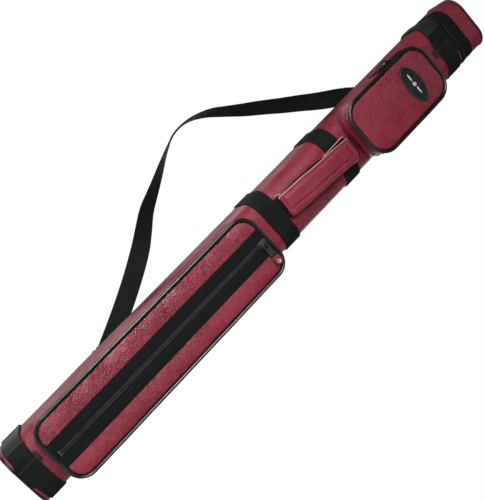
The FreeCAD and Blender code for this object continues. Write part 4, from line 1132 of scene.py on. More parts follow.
def pocket_panel(name, node, size, middle_z, x_span, crown, material, seed, hem=None,
                 row_step=2.3, columns=24, push=4.0, shape=None):
    """A pocket's leather front, filled out, rolled at its edge and turned back at its hem.

    size is (width, height, corner radius). Returns the grid of its front surface.
    """
    width, height, radius = size
    straight = height / 2 - radius
    cap = straight + radius * np.sin(np.linspace(0, math.pi / 2, 13)[1:])
    middle = np.linspace(-straight, straight, int((height - 2 * radius) / row_step) + 1)
    row_z = np.concatenate([-cap[::-1], middle, cap])
    past = np.maximum(0, abs(row_z) - straight)
    reach = width / 2 - radius + np.sqrt(np.maximum(0, radius * radius - past * past))
    left, right = np.maximum(x_span[0], -reach), np.minimum(x_span[1], reach)
    part = np.linspace(0, 1, columns)
    part = 0.5 * part + 0.5 * (0.5 - 0.5 * np.cos(math.pi * part))
    x = left[:, None] + (right - left)[:, None] * part
    z = np.repeat(row_z[:, None], columns, 1)
    edge = depth_inside(x, z, *size)
    seam = edge if hem is None else np.minimum(edge, abs(x - hem))
    front = box(node).low[1] + 0.15
    grid = np.stack([x, np.full_like(x, front), z + middle_z], 2)
    pinned = np.ones(x.shape, bool)
    pinned[1:-1, 1:-1] = False
    offsets = drape(grid, pinned, crown, push)
    calm = smooth(seam, 0.5, 5)
    grid = grid + offsets * np.stack([calm * 0.5, np.ones_like(calm), calm * 0.5], 2)
    # rolled edge
    out = -1.5 * round_off(edge, 2.6) / 2.6
    # bead and groove where the leather is turned back
    if hem is not None:
        gap = abs(x - hem)
        out -= 0.75 * round_off(gap, 0.9) / 0.9
        out += 0.32 * smooth(-gap, -4.6, -3.4) * smooth(gap, 0.2, 0.9)
        out -= 0.35 * bell(gap, 2.3, 0.55)
    # small puckers along the seams
    run = np.where(abs(z) > straight, x, z)
    out -= (0.20 * np.sin(run * TAU / 7.5 + 2.0 * np.sin(run * 0.13 + seed))
            * np.exp(-np.maximum(edge - 1.5, 0) / 4.0) * smooth(edge, 0.4, 2.0))
    out -= 0.16 * wave(x * 0.10, z * 0.055, seed) * smooth(seam, 0, 4)
    if shape is not None:
        out -= shape(x, z)
    grid[:, :, 1] -= out
    add(name, sheet(grid, 1.25 * BACK), material, "leatherette", node)
    return grid


def surface_y(grid, x, z):
    """Height (y) of a panel's front at points, from its four nearest grid points."""
    grid_x, grid_y, grid_z = grid.reshape(-1, 3).T
    found = []
    for near_x, near_z in zip(np.atleast_1d(x), np.atleast_1d(z)):
        distance = (grid_x - near_x) ** 2 + (grid_z - near_z) ** 2
        nearest = np.argpartition(distance, 4)[:4]
        weight = 1 / (distance[nearest] + 0.01)
        found.append((grid_y[nearest] * weight).sum() / weight.sum())
    return np.array(found)


# ------------------------------------------------------------------ pocket walls and cords
def case_front_y(x):
    """y of the case's front at x, held at the side past the corner."""
    return round_off(HALF - np.minimum(abs(x), HALF), CORNER) - HALF


def pocket_wall(name, node, size, middle_z, front_y, swell, seed, ridges=0.0, columns=30):
    """The wall between a pocket's front and the case. size is (width, height, radius).

    Returns its outer grid, and the outline's points, normals and arcs.
    """
    width, height, _ = size
    points, normals, arcs, _ = rounded_rect(*size, step=1.7)
    part = np.linspace(0, 1, columns)
    part = 0.65 * part + 0.35 * (0.5 - 0.5 * np.cos(math.pi * part))
    back_x = points[:, 0] * (HALF + 0.12) / (width / 2)
    span = (case_front_y(back_x) - 0.1 - front_y)[:, None]
    x = points[:, :1] * (1 - part ** 1.7) + back_x[:, None] * part ** 1.7
    depth = span * part
    left = span - depth
    arc = np.repeat(arcs[:, None], columns, 1)
    # full in the middle, a bead and a groove behind the cord, tucked in at both edges
    out = swell * np.sin(math.pi * part) ** 0.8 * np.ones_like(depth)
    out = out + 0.55 * bell(depth, 1.6, 1.3) - 0.45 * bell(depth, 4.2, 1.0)
    out = out - 1.6 * smooth(-left, -1.4, 0.0) + 0.35 * bell(left, 2.6, 1.2)
    out = out - 1.3 * smooth(-depth, -1.0, 0.0)
    # folds, deepest round the corners
    off_corner = (abs(abs(points[:, 0]) - (width / 2 - 5))
                  + abs(abs(points[:, 1]) - (height / 2 - 5)))
    corner = bell(np.minimum(off_corner, 60), 0, 12.0)[:, None]
    fold = (np.sin(arc * TAU / 8.5 + 3.0 * part + 1.5 * np.sin(arc * 0.09 + seed))
            * np.sin(math.pi * part) ** 1.2)
    out = out + (0.12 + 0.42 * corner) * fold + 0.30 * wave(arc * 0.04, depth * 0.10, seed)
    if ridges:
        low = smooth(-points[:, 1], height / 2 - 22, height / 2 - 4)[:, None]
        ridge = np.sin(part * TAU * 2.1 + 0.5 * np.sin(arc * 0.07)) * np.sin(math.pi * part)
        out = out + ridges * low * ridge

    def face(offset):
        return np.stack([x + normals[:, :1] * offset, front_y + depth,
                         points[:, 1:] + normals[:, 1:] * offset + middle_z], 2)

    outer = face(out)
    grid = np.concatenate([outer, face(out - 1.3)[:, ::-1]], 1)
    row_steps = np.linalg.norm(np.roll(grid, -1, 0) - grid, axis=2).mean(1)
    column_steps = np.linalg.norm(np.roll(grid, -1, 1) - grid, axis=2).mean(0)
    lengths = np.concatenate([[0], np.cumsum(row_steps)])
    girth = np.concatenate([[0], np.cumsum(column_steps)])
    add(name, grid_mesh(grid, lengths, girth), LEATHER, "leatherette", node)
    return outer, points + (0, middle_z), normals, arcs


def on_wall(outer, y):
    """Points on a wall's outer grid at depths y, one per row."""
    found = []
    for row, row_y in zip(outer, np.broadcast_to(y, len(outer))):
        found.append([np.interp(row_y, row[:, 1], row[:, 0]), row_y,
                      np.interp(row_y, row[:, 1], row[:, 2])])
    return np.array(found)


def pocket_cord(name, node, size, middle_z, y, seed, radius=2.05):
    """Piping round a pocket's front, with its flat flange and the welt behind it; these two are
    near black and stand as painted shade for the seam groove and the cord's shadow on the wall.
    """
    points, normals, arcs, length = rounded_rect(*size, step=1.3)
    wobble = 0.22 * wave(arcs * 0.05, arcs * 0, seed) + 0.10 * np.sin(arcs * TAU / length * 9)
    out = 0.22 * wave(arcs * 0.045, arcs * 0, seed + 1)
    path = upright(points + normals * out[:, None] + (0, middle_z), y + wobble)
    outward = upright(normals)
    lengths = np.append(arcs, length)
    # painted shade: the flange reaches inward past the cord as a black border, and the welt
    # behind the cord darkens the wall beside it
    flange_loop = [(-radius * 0.5, -0.3), (-radius * 0.5, 0.5), (-radius - 1.4, 0.4),
                   (-radius - 3.4, -0.1), (-radius - 3.4, -0.7), (-radius - 1.4, -0.5)]
    flange = sweep(path, outward, FRONT, flange_loop, True, lengths)
    welt = sweep(path + upright(normals * 0.15, 2.1), outward, FRONT,
                 circle_loop(1.45, 10) * (0.9, 1.25), True, lengths)
    add(name + "_welt_and_shade", join([flange, welt]), WELT_AND_SHADE, "piping")
    loops = circle_loop(radius, 16)[None] * (1 + 0.03 * np.sin(arcs * 1.9)[:, None, None])
    add(name, sweep(path, outward, FRONT, loops, True, lengths), PIPING, "piping", node)


# ------------------------------------------------------------------ lower pocket
FOOT = 3.6              # the pocket hangs this far below its CAD outline
cord_box = box("lower_pocket_piping")
LOWER_WIDTH = cord_box.size[0] - 4.0 - 0.8
LOWER_HEIGHT = cord_box.size[2] - 4.0 + FOOT
LOWER_Z = cord_box.mid[2] - FOOT / 2
LOWER_Y = cord_box.mid[1]
pocket_wall("lower_pocket_wall", "lower_pocket_gusset",
            (LOWER_WIDTH + 1, LOWER_HEIGHT + 1, 20.5), LOWER_Z, LOWER_Y + 1.6, 1.5, 81)
pocket_cord("lower_pocket_cord", "lower_pocket_piping", (LOWER_WIDTH, LOWER_HEIGHT, 20.0),
            LOWER_Z, LOWER_Y, 82)

SIDES = ((-1, "left"), (1, "right"))
HEM_X = -box("lower_pocket_panel_left").high[0]     # half the gap between the two panels
lower_grids = {}
for side, side_name in SIDES:
    lower_grids[side] = pocket_panel(
        "lower_pocket_leather_" + side_name, "lower_pocket_panel_" + side_name,
        (LOWER_WIDTH - 5.0, LOWER_HEIGHT - 5.0, 17.8), LOWER_Z,
        sorted((side * HEM_X, side * 60)), 1.5, LEATHER_PEBBLED if side < 0 else LEATHER,
        seed=83 if side < 0 else 84, hem=side * HEM_X, columns=18, push=5)
for side, side_name in SIDES:
    panel = lower_grids[side]
    line_z = np.arange(panel[:, :, 2].min() + 6, panel[:, :, 2].max() - 6, 1.2)
    line_x = np.full(len(line_z), side * (HEM_X + 2.3))
    line_y = surface_y(panel, line_x, line_z) - 0.12
    stitches("lower_pocket_stitches_" + side_name, [np.c_[line_x, line_y, line_z]], 3.4,
             (2.4, 0.55, 0.5), THREAD_RED, "leatherette", out=FRONT)

coil_box = box("lower_pocket_zip_teeth")


def lower_tape(side, side_name):
    """Half of the zip tape, with a thick woven rib beside the coil."""
    tape = box("lower_pocket_zip_tape")
    off = np.array([17.6, 16.0, 14.0, 12.0, 10.0, 8.4, 7.6, 7.0, 6.4, 5.8, 5.0, 4.2, 3.5,
                    2.9, 2.4])
    rib = 0.28 * bell(off, 6.9, 0.8) + 0.15 * bell(off, 3.4, 0.7) - 0.25 * bell(off, 5.1, 0.6)
    x, z = np.meshgrid(side * off, np.arange(tape.low[2] - 0.6 - FOOT, tape.high[2] + 0.7, 2.2))
    y = (tape.low[1] - rib - 0.35 + 0.12 * wave(x * 0.14, z * 0.05, 90 + side)
         + 0.5 * smooth(abs(x), 15, 17.6))
    cloth = sheet(np.stack([x, y, z], 2), 0.8 * BACK, uvs=np.stack([z, x + 40], 2))
    add("lower_pocket_tape_" + side_name, cloth, TAPE, "zip_tape",
        "lower_pocket_zip_tape" if side > 0 else "")


def lower_coil(side, side_name, pitch=1.5):
    """Half of the coil, and the cord along it."""
    low, high = coil_box.low[2], coil_box.high[2]
    front = coil_box.low[1]
    z = np.arange(low + 0.6, high - 0.4, pitch) + (0 if side < 0 else pitch / 2)
    centres = np.c_[np.full(len(z), side * 1.25), np.full(len(z), front + 1.05), z]
    # painted highlight: the left half of the coil takes the lighter copy
    scatter("lower_pocket_coil_" + side_name, TOOTH, centres, RIGHT, FRONT, (2.5, 0.95, 1.7),
            COIL_HIGHLIGHT if side < 0 else COIL, "zip_coil",
            replaces="lower_pocket_zip_teeth" if side > 0 else "")
    z = np.arange(low, high, 2.0)
    path = np.c_[np.full(len(z), side * 1.55), front + 0.25 + 0.06 * np.sin(z * 0.9), z]
    # painted highlight: the cord along the coil takes the lighter copy
    add("lower_pocket_coil_thread_" + side_name,
        sweep(path, RIGHT, FRONT, circle_loop(0.36, 8), closed=False), COIL_HIGHLIGHT, "zip_coil")


for side, side_name in SIDES:
    lower_tape(side, side_name)
for side, side_name in SIDES:
    lower_coil(side, side_name)


# ------------------------------------------------------------------ small hardware
def outline(width, height, radius, count, waist=0.0, nose=0.0):
    """Rounded rectangle, drawn in by waist at its middle and widened by nose at its top."""
    points = rounded_rect(width, height, radius, count)[0]
    part = points[:, 1] / (height / 2)
    points[:, 0] *= 1 + nose * part - waist * (1 - part * part)
    return points


def plate(origin, axes, edge, thick, bevel, hole=None):
    """A bevelled slab: edge lies in the first two axes and it rises along the third.

    hole is a loop with as many points as edge.
    """
    across, along, out = axes

    def ring(loop, inset, height):
        chord = np.roll(loop, -1, 0) - np.roll(loop, 1, 0)
        normal = unit(np.c_[chord[:, 1], -chord[:, 0]])
        if ((loop - loop.mean(0)) * normal).sum() < 0:
            normal = -normal
        flat = loop - normal * inset
        return origin + flat[:, :1] * across + flat[:, 1:] * along + height * out

    slight = 0.3 * bevel
    rings = [ring(edge, inset, height) for inset, height in (
        (bevel, 0), (slight, slight), (0, bevel),
        (0, thick - bevel), (slight, thick - slight), (bevel, thick))]
    if hole is not None:
        rings += [ring(hole, inset, height) for inset, height in (
            (-bevel, thick), (0, thick - bevel), (0, bevel), (-bevel, 0))]
    return stack(rings, close=hole is not None)


def slider(name, node, origin, axes, width, length, lift, material):
    """A zip slider: axes run across, along and out; origin is the top of the coil."""
    origin = np.array(origin, float)
    across, along, out = axes
    shape = outline(width, length, width * 0.34, 44, waist=0.10, nose=0.06)
    parts = [plate(origin + out * 0.15, axes, shape, 1.25, 0.4)]
    part = np.linspace(-1, 1, 9)[:, None]
    for hand in (-1, 1):
        reach = hand * (width / 2 - 0.35) * (1 - 0.10 * (1 - part * part) + 0.06 * part)
        rail = origin + across * reach + along * part * length * 0.36 + out * 0.1
        parts.append(wire(rail, 0.55, 8))
    # bridge: an arched strap over the plate
    angle = np.linspace(0, math.pi, 15)[:, None]
    path = (origin - along * np.cos(angle) * length * 0.30
            + out * (1.2 + (lift - 1.9) * np.sin(angle) ** 0.6))
    strap = bar_loop(0.9, 2.6, 0.35)[:, ::-1] + (0, -0.45)
    parts.append(sweep(path, across, np.cross(tangents(path), across), strap, closed=False))
    add(name, join(parts), material, "dark_metal" if material is not None else "", node, node,
        sharp=45)


slider("lower_slider_metal", "lower_zip_slider",
       (0, coil_box.low[1] - 0.25, box("lower_zip_slider").mid[2]), (RIGHT, UP, FRONT),
       8.6, 13.0, 4.2, PLASTIC)

PULL_AXES = (UP, RIGHT, FRONT)      # the lower pull lies across the pocket


def lower_pull():
    """Ribbed tongue with a slot, a leather-faced tip and its eyelet."""
    body = "lower_zip_pull"
    pull = box("lower_zip_pull")
    length, height = pull.size[0], pull.size[2]
    x, _, z = pull.mid
    edge = outline(height + 1.0, length + 3.4, 2.6, 48, nose=0.10)
    hole = outline(2.6, 6.0, 1.3, 48) + (0, -length / 2 + 3.3)
    parts = [plate((x - 0.6, pull.high[1] + 0.1, z), PULL_AXES, edge, 1.5, 0.45, hole)]
    for offset in (1.0, 2.9, 4.8):
        parts.append(plate((x + offset, pull.high[1] - 1.3, z), PULL_AXES,
                           outline(height - 2.2, 1.0, 0.45, 16), 0.5, 0.15))
    add("lower_pull_tongue", join(parts), PLASTIC, "black_plastic", "lower_zip_pull", body)

    tip = box("lower_pull_tip")
    length, height = tip.size[0], tip.size[2]
    x, _, z = tip.mid
    rim = plate((x, tip.high[1] + 0.1, z), PULL_AXES,
                outline(height + 0.9, length + 1.0, 4.9, 48), 1.2, 0.4)
    add("lower_pull_tip_edge", rim, PLASTIC, "black_plastic", body=body)
    leaf = plate((x, tip.high[1] - 0.6, z), PULL_AXES,
                 outline(height - 1.0, length - 0.9, 4.1, 48), 1.35, 0.55)
    add("lower_pull_tip_leather", leaf, LEATHER_FINE, "leatherette", "lower_pull_tip", body)

    eyelet = box("lower_pull_eyelet")
    angle = np.linspace(0, TAU, 33)[:-1]
    ring = np.c_[eyelet.mid[0] + 1.75 * np.cos(angle), np.full(32, eyelet.low[1] + 0.45),
                 z + 1.75 * np.sin(angle)]
    add("lower_pull_eyelet_ring", wire(ring, 0.55, closed=True), EYELET, "dark_metal",
        "lower_pull_eyelet", body)


lower_pull()
FRONT_AXES = (RIGHT, UP, FRONT)
stop = box("lower_pocket_zip_stop")
add("lower_pocket_stop_metal",
    plate((0, stop.high[1] - 0.2, stop.mid[2]), FRONT_AXES, outline(6.2, 3.2, 0.9, 32), 2.2, 0.5),
    GUNMETAL, "dark_metal", "lower_pocket_zip_stop")

# ------------------------------------------------------------------ upper pocket
cord_box = box("upper_pocket_piping")
UPPER_WIDTH, UPPER_HEIGHT = cord_box.size[0] - 4.0, cord_box.size[2] - 4.0
UPPER_Y, UPPER_Z = cord_box.mid[1:]
wall, wall_points, wall_normals, wall_arcs = pocket_wall(
    "upper_pocket_wall", "upper_pocket_gusset", (UPPER_WIDTH + 1, UPPER_HEIGHT + 1, 25.5),
    UPPER_Z, UPPER_Y + 1.6, 1.0, 91, ridges=0.7)
pocket_cord("upper_pocket_cord", "upper_pocket_piping", (UPPER_WIDTH, UPPER_HEIGHT, 25.0),
            UPPER_Z, UPPER_Y, 92)


def upper_shape(x, z):
    """A hollow near the top and fullness near the foot, as shifts towards the back."""
    return (0.5 * np.exp(-((z - 30) / 20) ** 2 - (x / 30) ** 2)
            - 0.4 * np.exp(-((z + 45) / 22) ** 2 - (x / 26) ** 2))


upper_grid = pocket_panel("upper_pocket_leather", "upper_pocket_panel",
                          (UPPER_WIDTH - 5.0, UPPER_HEIGHT - 5.0, 22.6), UPPER_Z, (-60, 60),
                          2.6, LEATHER, 93, columns=44, row_step=2.0, push=4,
                          shape=lambda x, z: upper_shape(x, z))

COIL_Y = box("upper_pocket_zip_teeth").mid[1]


def on_side(points):
    """Past the wall's back edge, points on the left lie on the case's side."""
    back = case_front_y(HALF)
    weight = smooth(points[..., 1], back - 5.0, back - 1.0) * (points[..., 0] < -HALF + 8)
    beside = np.minimum(points[..., 0], -(HALF + 1.35))
    points[..., 0] = points[..., 0] * (1 - weight) + weight * beside
    return points


def upper_zip():
    """The zip on the wall, from its right end over the top to its left end."""
    tape = box("upper_pocket_zip_tape")
    count = len(wall_points)
    # the outline starts at the top centre, so its second half comes first
    order = np.roll(np.arange(count), -(count // 2))
    order = order[wall_points[order, 1] >= tape.low[2]]
    outward = upright(wall_normals[order])
    # the tape widens towards its lower left end
    widening = 13.0 * smooth(-wall_points[:, 1], -728, -690) * (wall_points[:, 0] < 0)
    back = tape.high[1] + 1.5 + widening
    front = UPPER_Y + 1.3
    depths = front + (back - front)[:, None] * np.linspace(0, 1, 23)
    points = on_side(np.stack([on_wall(wall, column)[order] for column in depths.T], 1))
    depths = depths[order]
    off = abs(depths - COIL_Y)
    rib = 0.30 + 0.25 * bell(off, 5.2, 0.9) - 0.15 * bell(off, 3.9, 0.6)
    normals = outward[:, None, :]
    arcs = np.repeat(wall_arcs[order][:, None], depths.shape[1], 1)
    cloth = sheet(points + normals * rib[:, :, None], -normals * 0.8,
                  uvs=np.stack([arcs, depths + 100], 2))
    add("upper_pocket_tape", cloth, TAPE, "zip_tape", "upper_pocket_zip_tape")

    hem = [(0.9, -0.5), (1.05, 0.2), (0.95, 0.9), (0.55, 1.7), (-0.4, 2.4), (-0.6, 2.4),
           (-0.6, -0.7), (0.3, -0.9)]
    path = on_side(on_wall(wall, back + 0.3)[order])
    add("upper_pocket_zip_hems", sweep(path, outward, BACK, hem, closed=False), LEATHER_FINE,
        "leatherette")

    line = on_wall(wall, COIL_Y)[order]
    lengths = arc_lengths(line)
    # painted highlight: the front row of teeth takes the lighter copy
    for row, row_name, y, material, node in (
            (0, "front", -1.15, COIL_HIGHLIGHT, ""),
            (1, "back", 1.15, COIL, "upper_pocket_zip_teeth")):
        where = np.arange(1.0 + row * 0.8, lengths[-1] - 1, 1.6)
        out = interpolate(where, lengths, outward)
        centres = interpolate(where, lengths, line) + out * 0.95 + (0, y, 0)
        scatter("upper_pocket_coil_" + row_name, TOOTH, centres, BACK, out, (2.4, 0.95, 1.5),
                material, "zip_coil", replaces=node)


def tongue(name, node, x, axes):
    """A metal zip pull with a hole at its top and a raised pad; x is its inner face."""
    piece = box(node)
    thick, width, length = piece.size
    origin = np.array((x, piece.mid[1], piece.mid[2]))
    _, along, out = axes
    edge = outline(width, length, width * 0.34, 48, nose=-0.12, waist=0.06)
    hole = outline(width * 0.42, width * 0.62, width * 0.2, 48) + (0, length / 2 - width * 0.55)
    pad = plate(origin + out * (thick - 0.15) - along * length * 0.18, axes,
                outline(width * 0.5, length * 0.42, width * 0.22, 32), 0.4, 0.15)
    add(name, join([plate(origin, axes, edge, thick, 0.3, hole), pad]), GUNMETAL, "dark_metal",
        node, node)


upper_zip()
slider_box = box("upper_zip_slider")
slider("upper_slider_metal", "upper_zip_slider",
       (slider_box.high[0] - 0.25, COIL_Y, slider_box.mid[2]), (FRONT, UP, LEFT),
       8.6, 13.0, 3.4, BRIGHT)
tongue("upper_pull_metal", "upper_zip_pull", box("upper_zip_pull").high[0], (FRONT, UP, LEFT))
slider_box = box("lid_zip_slider")
slider("lid_slider_metal", "lid_zip_slider", (slider_box.low[0], slider_box.mid[1], Z_SPLIT),
       (UP, FRONT, RIGHT), 7.6, 12.0, 3.2, GUNMETAL)
tongue("lid_pull_metal", "lid_zip_pull", box("lid_zip_pull").low[0], (BACK, UP, RIGHT))


# ------------------------------------------------------------------ oval badge
def badge():
    """An oval badge, bent back at its ends, with a ball between two bars and a rim."""
    piece = box("badge_plate")
    half_width, half_height = piece.size[0] / 2, piece.size[2] / 2
    z = piece.mid[2]
    y = float(surface_y(upper_grid, 0, z)[0])
    angle = np.arange(96) / 96 * TAU
    cos, sin = np.cos(angle), np.sin(angle)

    def oval(scale, offset):
        return np.c_[half_width * scale * cos, y + 0.55 * (scale * cos) ** 2 + offset,
                     z + half_height * scale * sin]

    # scale of the oval, y offset
    profile = ((1.0, 0.9), (1.0, -0.6), (0.99, -1.15), (0.965, -1.35), (0.94, -1.3),
               (0.915, -1.0), (0.88, -0.85), (0.6, -0.95), (0.3, -1.0), (0.05, -1.0))
    add("badge_oval", stack([oval(*row) for row in profile]), BADGE, "badge", "badge_plate",
        sharp=50)
    turn = math.pi / 2 - np.arange(40) / 40 * TAU
    ball = np.c_[2.8 * np.cos(turn), 2.8 * np.sin(turn)]
    mark = [plate((0.0, y - 0.92, z), FRONT_AXES, ball, 0.5, 0.18)]
    for hand in (-1, 1):
        bar = np.c_[5.5 * cos[::2], 1.15 * sin[::2] * (1 - 0.35 * cos[::2] * hand)]
        mark.append(plate((hand * 10.2, y - 0.80, z), FRONT_AXES, bar, 0.5, 0.15))
    add("badge_mark", join(mark), BADGE_GREY, "badge", sharp=50)
    add("badge_rim", wire(oval(0.955, -1.28), 0.33, 8, closed=True), BADGE_RIM, "badge")


badge()

# ------------------------------------------------------------------ carrying handle
grip_box = box("handle_grip")
GRIP_MID = grip_box.mid
GRIP_WIDTH, GRIP_THICK, GRIP_LENGTH = 31.0, grip_box.size[1], 122.0
GRIP_HALF = GRIP_LENGTH / 2
GRIP_BOW = 1.3                          # how far its middle bows out
LEAN = math.atan2(9.5, 116.0)           # its top leans to the right
ACROSS = np.array([math.cos(LEAN), 0, -math.sin(LEAN)])
ALONG = np.array([math.sin(LEAN), 0, math.cos(LEAN)])
TOP_COUNT, FOLD_COUNT, UNDER_COUNT = 46, 16, 30     # points across each part of the leaf
SEAM_LEFT, SEAM_RIGHT, SEAM_END = 3.1, 8.3, 5.2     # grooves in from the leaf's edges


def on_grip(across, along, out):
    outer = np.multiply.outer
    return GRIP_MID + outer(along, ALONG) + outer(out, FRONT) + outer(across, ACROSS)


def grip_bow(along):
    return GRIP_BOW * (1 - (along / GRIP_HALF) ** 2)


def wrap_section(along):
    """Section (across, out) of the leather leaf, and the place of its folded right edge."""
    part = along / GRIP_HALF
    end = GRIP_HALF - abs(along)
    cut_left = round_off(end, 2.2)
    left = -GRIP_WIDTH / 2 + cut_left + 0.35 * math.sin(along * 0.11 + 1)
    right = GRIP_WIDTH / 2 - round_off(end, 5.5) - 0.3 * math.sin(along * 0.08)
    under = (-GRIP_WIDTH / 2 + 1.2 - 6.2 * max(0.0, part - 0.12) ** 0.95
             - 4.6 * max(0.0, (-part - 0.80) / 0.20) ** 1.2
             + 2.6 * bell(part, -0.35, 0.32) + cut_left * 1.2)
    radius = GRIP_THICK / 2 - 1.0
    # top leaf: padded, with sewn grooves, its free edge turned down
    x = np.linspace(left, right - radius, TOP_COUNT)
    from_left, from_right = x - left, right - x
    pad = (1.25 * smooth(from_left, 2.8, 8.0) * smooth(from_right, 7.6, 12.0)
           * smooth(end, 4.4, 10.0))
    sides = bell(from_left, SEAM_LEFT, 0.55) + bell(from_right, SEAM_RIGHT, 0.6)
    ends = (bell(end, SEAM_END, 0.55) * smooth(from_left, 2.2, 3.4)
            * smooth(from_right, 7.2, 8.6))
    groove = -0.75 * (sides * smooth(end, 3.5, 5.0) + ends)
    wrinkle = 0.22 * wave(x * 0.22, along * 0.10, 101) * smooth(from_left, 0.5, 3)
    lip = -0.9 * (1 - smooth(from_left, 0, 2.6)) * (0.4 + 0.6 * part ** 2)
    top = np.c_[x, radius + pad + groove + wrinkle + lip]
    angle = np.linspace(0, math.pi, FOLD_COUNT + 2)[1:-1]
    fold = np.c_[right - radius + radius * np.sin(angle), radius * np.cos(angle)]
    x = np.linspace(right - radius, under, UNDER_COUNT)
    curl = 0.9 * (1 - smooth(x - under, 0, 7)) * (1 if part > 0 else 0.5)
    line = np.vstack([top, fold, np.c_[x, curl - radius]])
    tangent = tangents(line)
    thick = np.full((len(line), 1), 0.85)
    thick[:3, 0] *= (0.55, 0.85, 0.97)
    thick[-3:, 0] *= (0.97, 0.85, 0.55)
    offset = np.c_[-tangent[:, 1], tangent[:, 0]] * thick
    return np.vstack([line + offset, (line - offset)[::-1]]), right


def handle_wrap():
    """A leaf folded round the webbing: fold on the right, two free edges on the left.

    Returns its sections, their places along the grip, and their right edges.
    """
    count = 118
    part = np.linspace(-GRIP_HALF, GRIP_HALF, count) / GRIP_HALF * math.pi / 2 * 0.86
    along = GRIP_HALF * np.sin(part) / math.sin(math.pi / 2 * 0.86)
    sections, rights = zip(*[wrap_section(place) for place in along])
    loops = np.array(sections)
    size = loops.shape[1]
    half = size // 2
    points, faces, uvs = sweep(on_grip(0.0, along, grip_bow(along)), ACROSS, FRONT, loops,
                               closed=False)
    # strips between the leaf's two faces take the place of the caps
    faces, uvs = faces[:-2], uvs[:-2 * size]
    for row, turn in ((0, 1), (count - 1, -1)):
        first = row * size
        for j in range(half - 1):
            strip = [first + j, first + j + 1, first + size - 2 - j, first + size - 1 - j]
            faces.append(strip[::turn])
            uvs += [[0, 0]] * 4
    made = make("handle_wrap", (points, faces, uvs), LEATHER_FINE, sharp=50)
    made.data.materials.append(LINING)
    inner = [int(min(corner % size for corner in face.vertices) >= half)
             for face in made.data.polygons]
    made.data.polygons.foreach_set("material_index", inner)
    attach(made, "handle_grip", "handle")
    return loops, along, np.array(rights)


def handle_edges(loops, along):
    """Paler raw edges along both free sides, their pale pink partly a painted highlight."""
    half = loops.shape[1] // 2
    for name, first, second, inset, radius in (("top", 0, -1, 0.12, 0.55),
                                               ("under", half - 1, half, 0.1, 0.62)):
        edge = (loops[:, first] + loops[:, second]) / 2
        path = on_grip(edge[:, 0] - inset, along, grip_bow(along) + edge[:, 1])
        add("handle_edge_" + name, wire(path, radius, 8), LEATHER_EDGE_AND_HIGHLIGHT, "leatherette",
            body="handle")


def handle_stitches(loops, along, rights):
    """Stitches in the four grooves."""
    top = loops[:, :TOP_COUNT]
    rows = np.nonzero(GRIP_HALF - abs(along) >= SEAM_END)[0]
    lines = []
    for wanted in (top[:, 0, 0] + SEAM_LEFT, rights - SEAM_RIGHT):
        columns = abs(top[rows, :, 0] - wanted[rows, None]).argmin(1)
        spot = top[rows, columns]
        place = along[rows]
        lines.append(on_grip(spot[:, 0], place, grip_bow(place) + spot[:, 1] + 0.1))
    for hand in (1, -1):
        row = abs(along - hand * (GRIP_HALF - SEAM_END)).argmin()
        x = top[row, :, 0]
        spot = top[row, (x >= x[0] + SEAM_LEFT) & (x <= GRIP_WIDTH / 2 - 8.5)]
        place = along[row]
        lines.append(on_grip(spot[:, 0], place, grip_bow(place) + spot[:, 1] + 0.1))
    stitches("handle_stitches", lines, 3.3, (2.5, 0.6, 0.55), THREAD_RED, "leatherette",
             out=FRONT, body="handle")


def handle_padding():
    """Dark padding between the leaves; where it stands out past their left edges it is partly
    painted shade.
    """
    along = np.linspace(-GRIP_HALF + 2.5, GRIP_HALF - 2.5, 60)
    thick = GRIP_THICK - 4.4
    # painted shade: in the middle the padding reaches past the leaves' left edges, a black strip
    # beside them
    left = GRIP_WIDTH / 2 - 1.2 + 3.6 * np.exp(-((along / GRIP_HALF + 0.18) / 0.62) ** 4)
    right = GRIP_WIDTH / 2 - 4.5
    loops = np.repeat((bar_loop(thick, 1.0, 0.3) + (-thick / 2, 0.0))[None], len(along), 0)
    loops[:, :, 1] = loops[:, :, 1] * (left + right)[:, None] + ((right - left) / 2)[:, None]
    path = on_grip(0.0, along, grip_bow(along) - 0.5)
    add("handle_padding", sweep(path, FRONT, ACROSS, loops, closed=False), LINING, "foam",
        body="handle")


wrap_loops, wrap_along, wrap_rights = handle_wrap()
handle_edges(wrap_loops, wrap_along)
handle_stitches(wrap_loops, wrap_along, wrap_rights)
handle_padding()


def handle_end(name, node, knots, width):
    """Webbing between a band and the grip, on a smooth curve through the knots."""
    knots = np.array(knots)
    knots = np.vstack([2 * knots[0] - knots[1], knots, 2 * knots[-1] - knots[-2]])
    t = np.linspace(0, 1, 12, endpoint=False)[:, None]
    spans = []
    for before, start, end, after in zip(knots, knots[1:], knots[2:], knots[3:]):
        spans.append(0.5 * ((2 * start) + (-before + end) * t
                            + (2 * before - 5 * start + 4 * end - after) * t * t
                            + (-before + 3 * start - 3 * end + after) * t ** 3))
    path = np.vstack(spans)
    directions = tangents(path)
    across = square_to(ACROSS, directions)
    strap = sweep(path, np.cross(across, directions), across,
                  bar_loop(1.9, width, 0.6) + (-0.95, 0.0), closed=False)
    # the bend's start and end are in metres
    bend = ("root", "handle", (0, -0.0425, 0.5), (0, -0.0475, 0.5))
    add(name, strap, WEBBING, "webbing", node, bend)


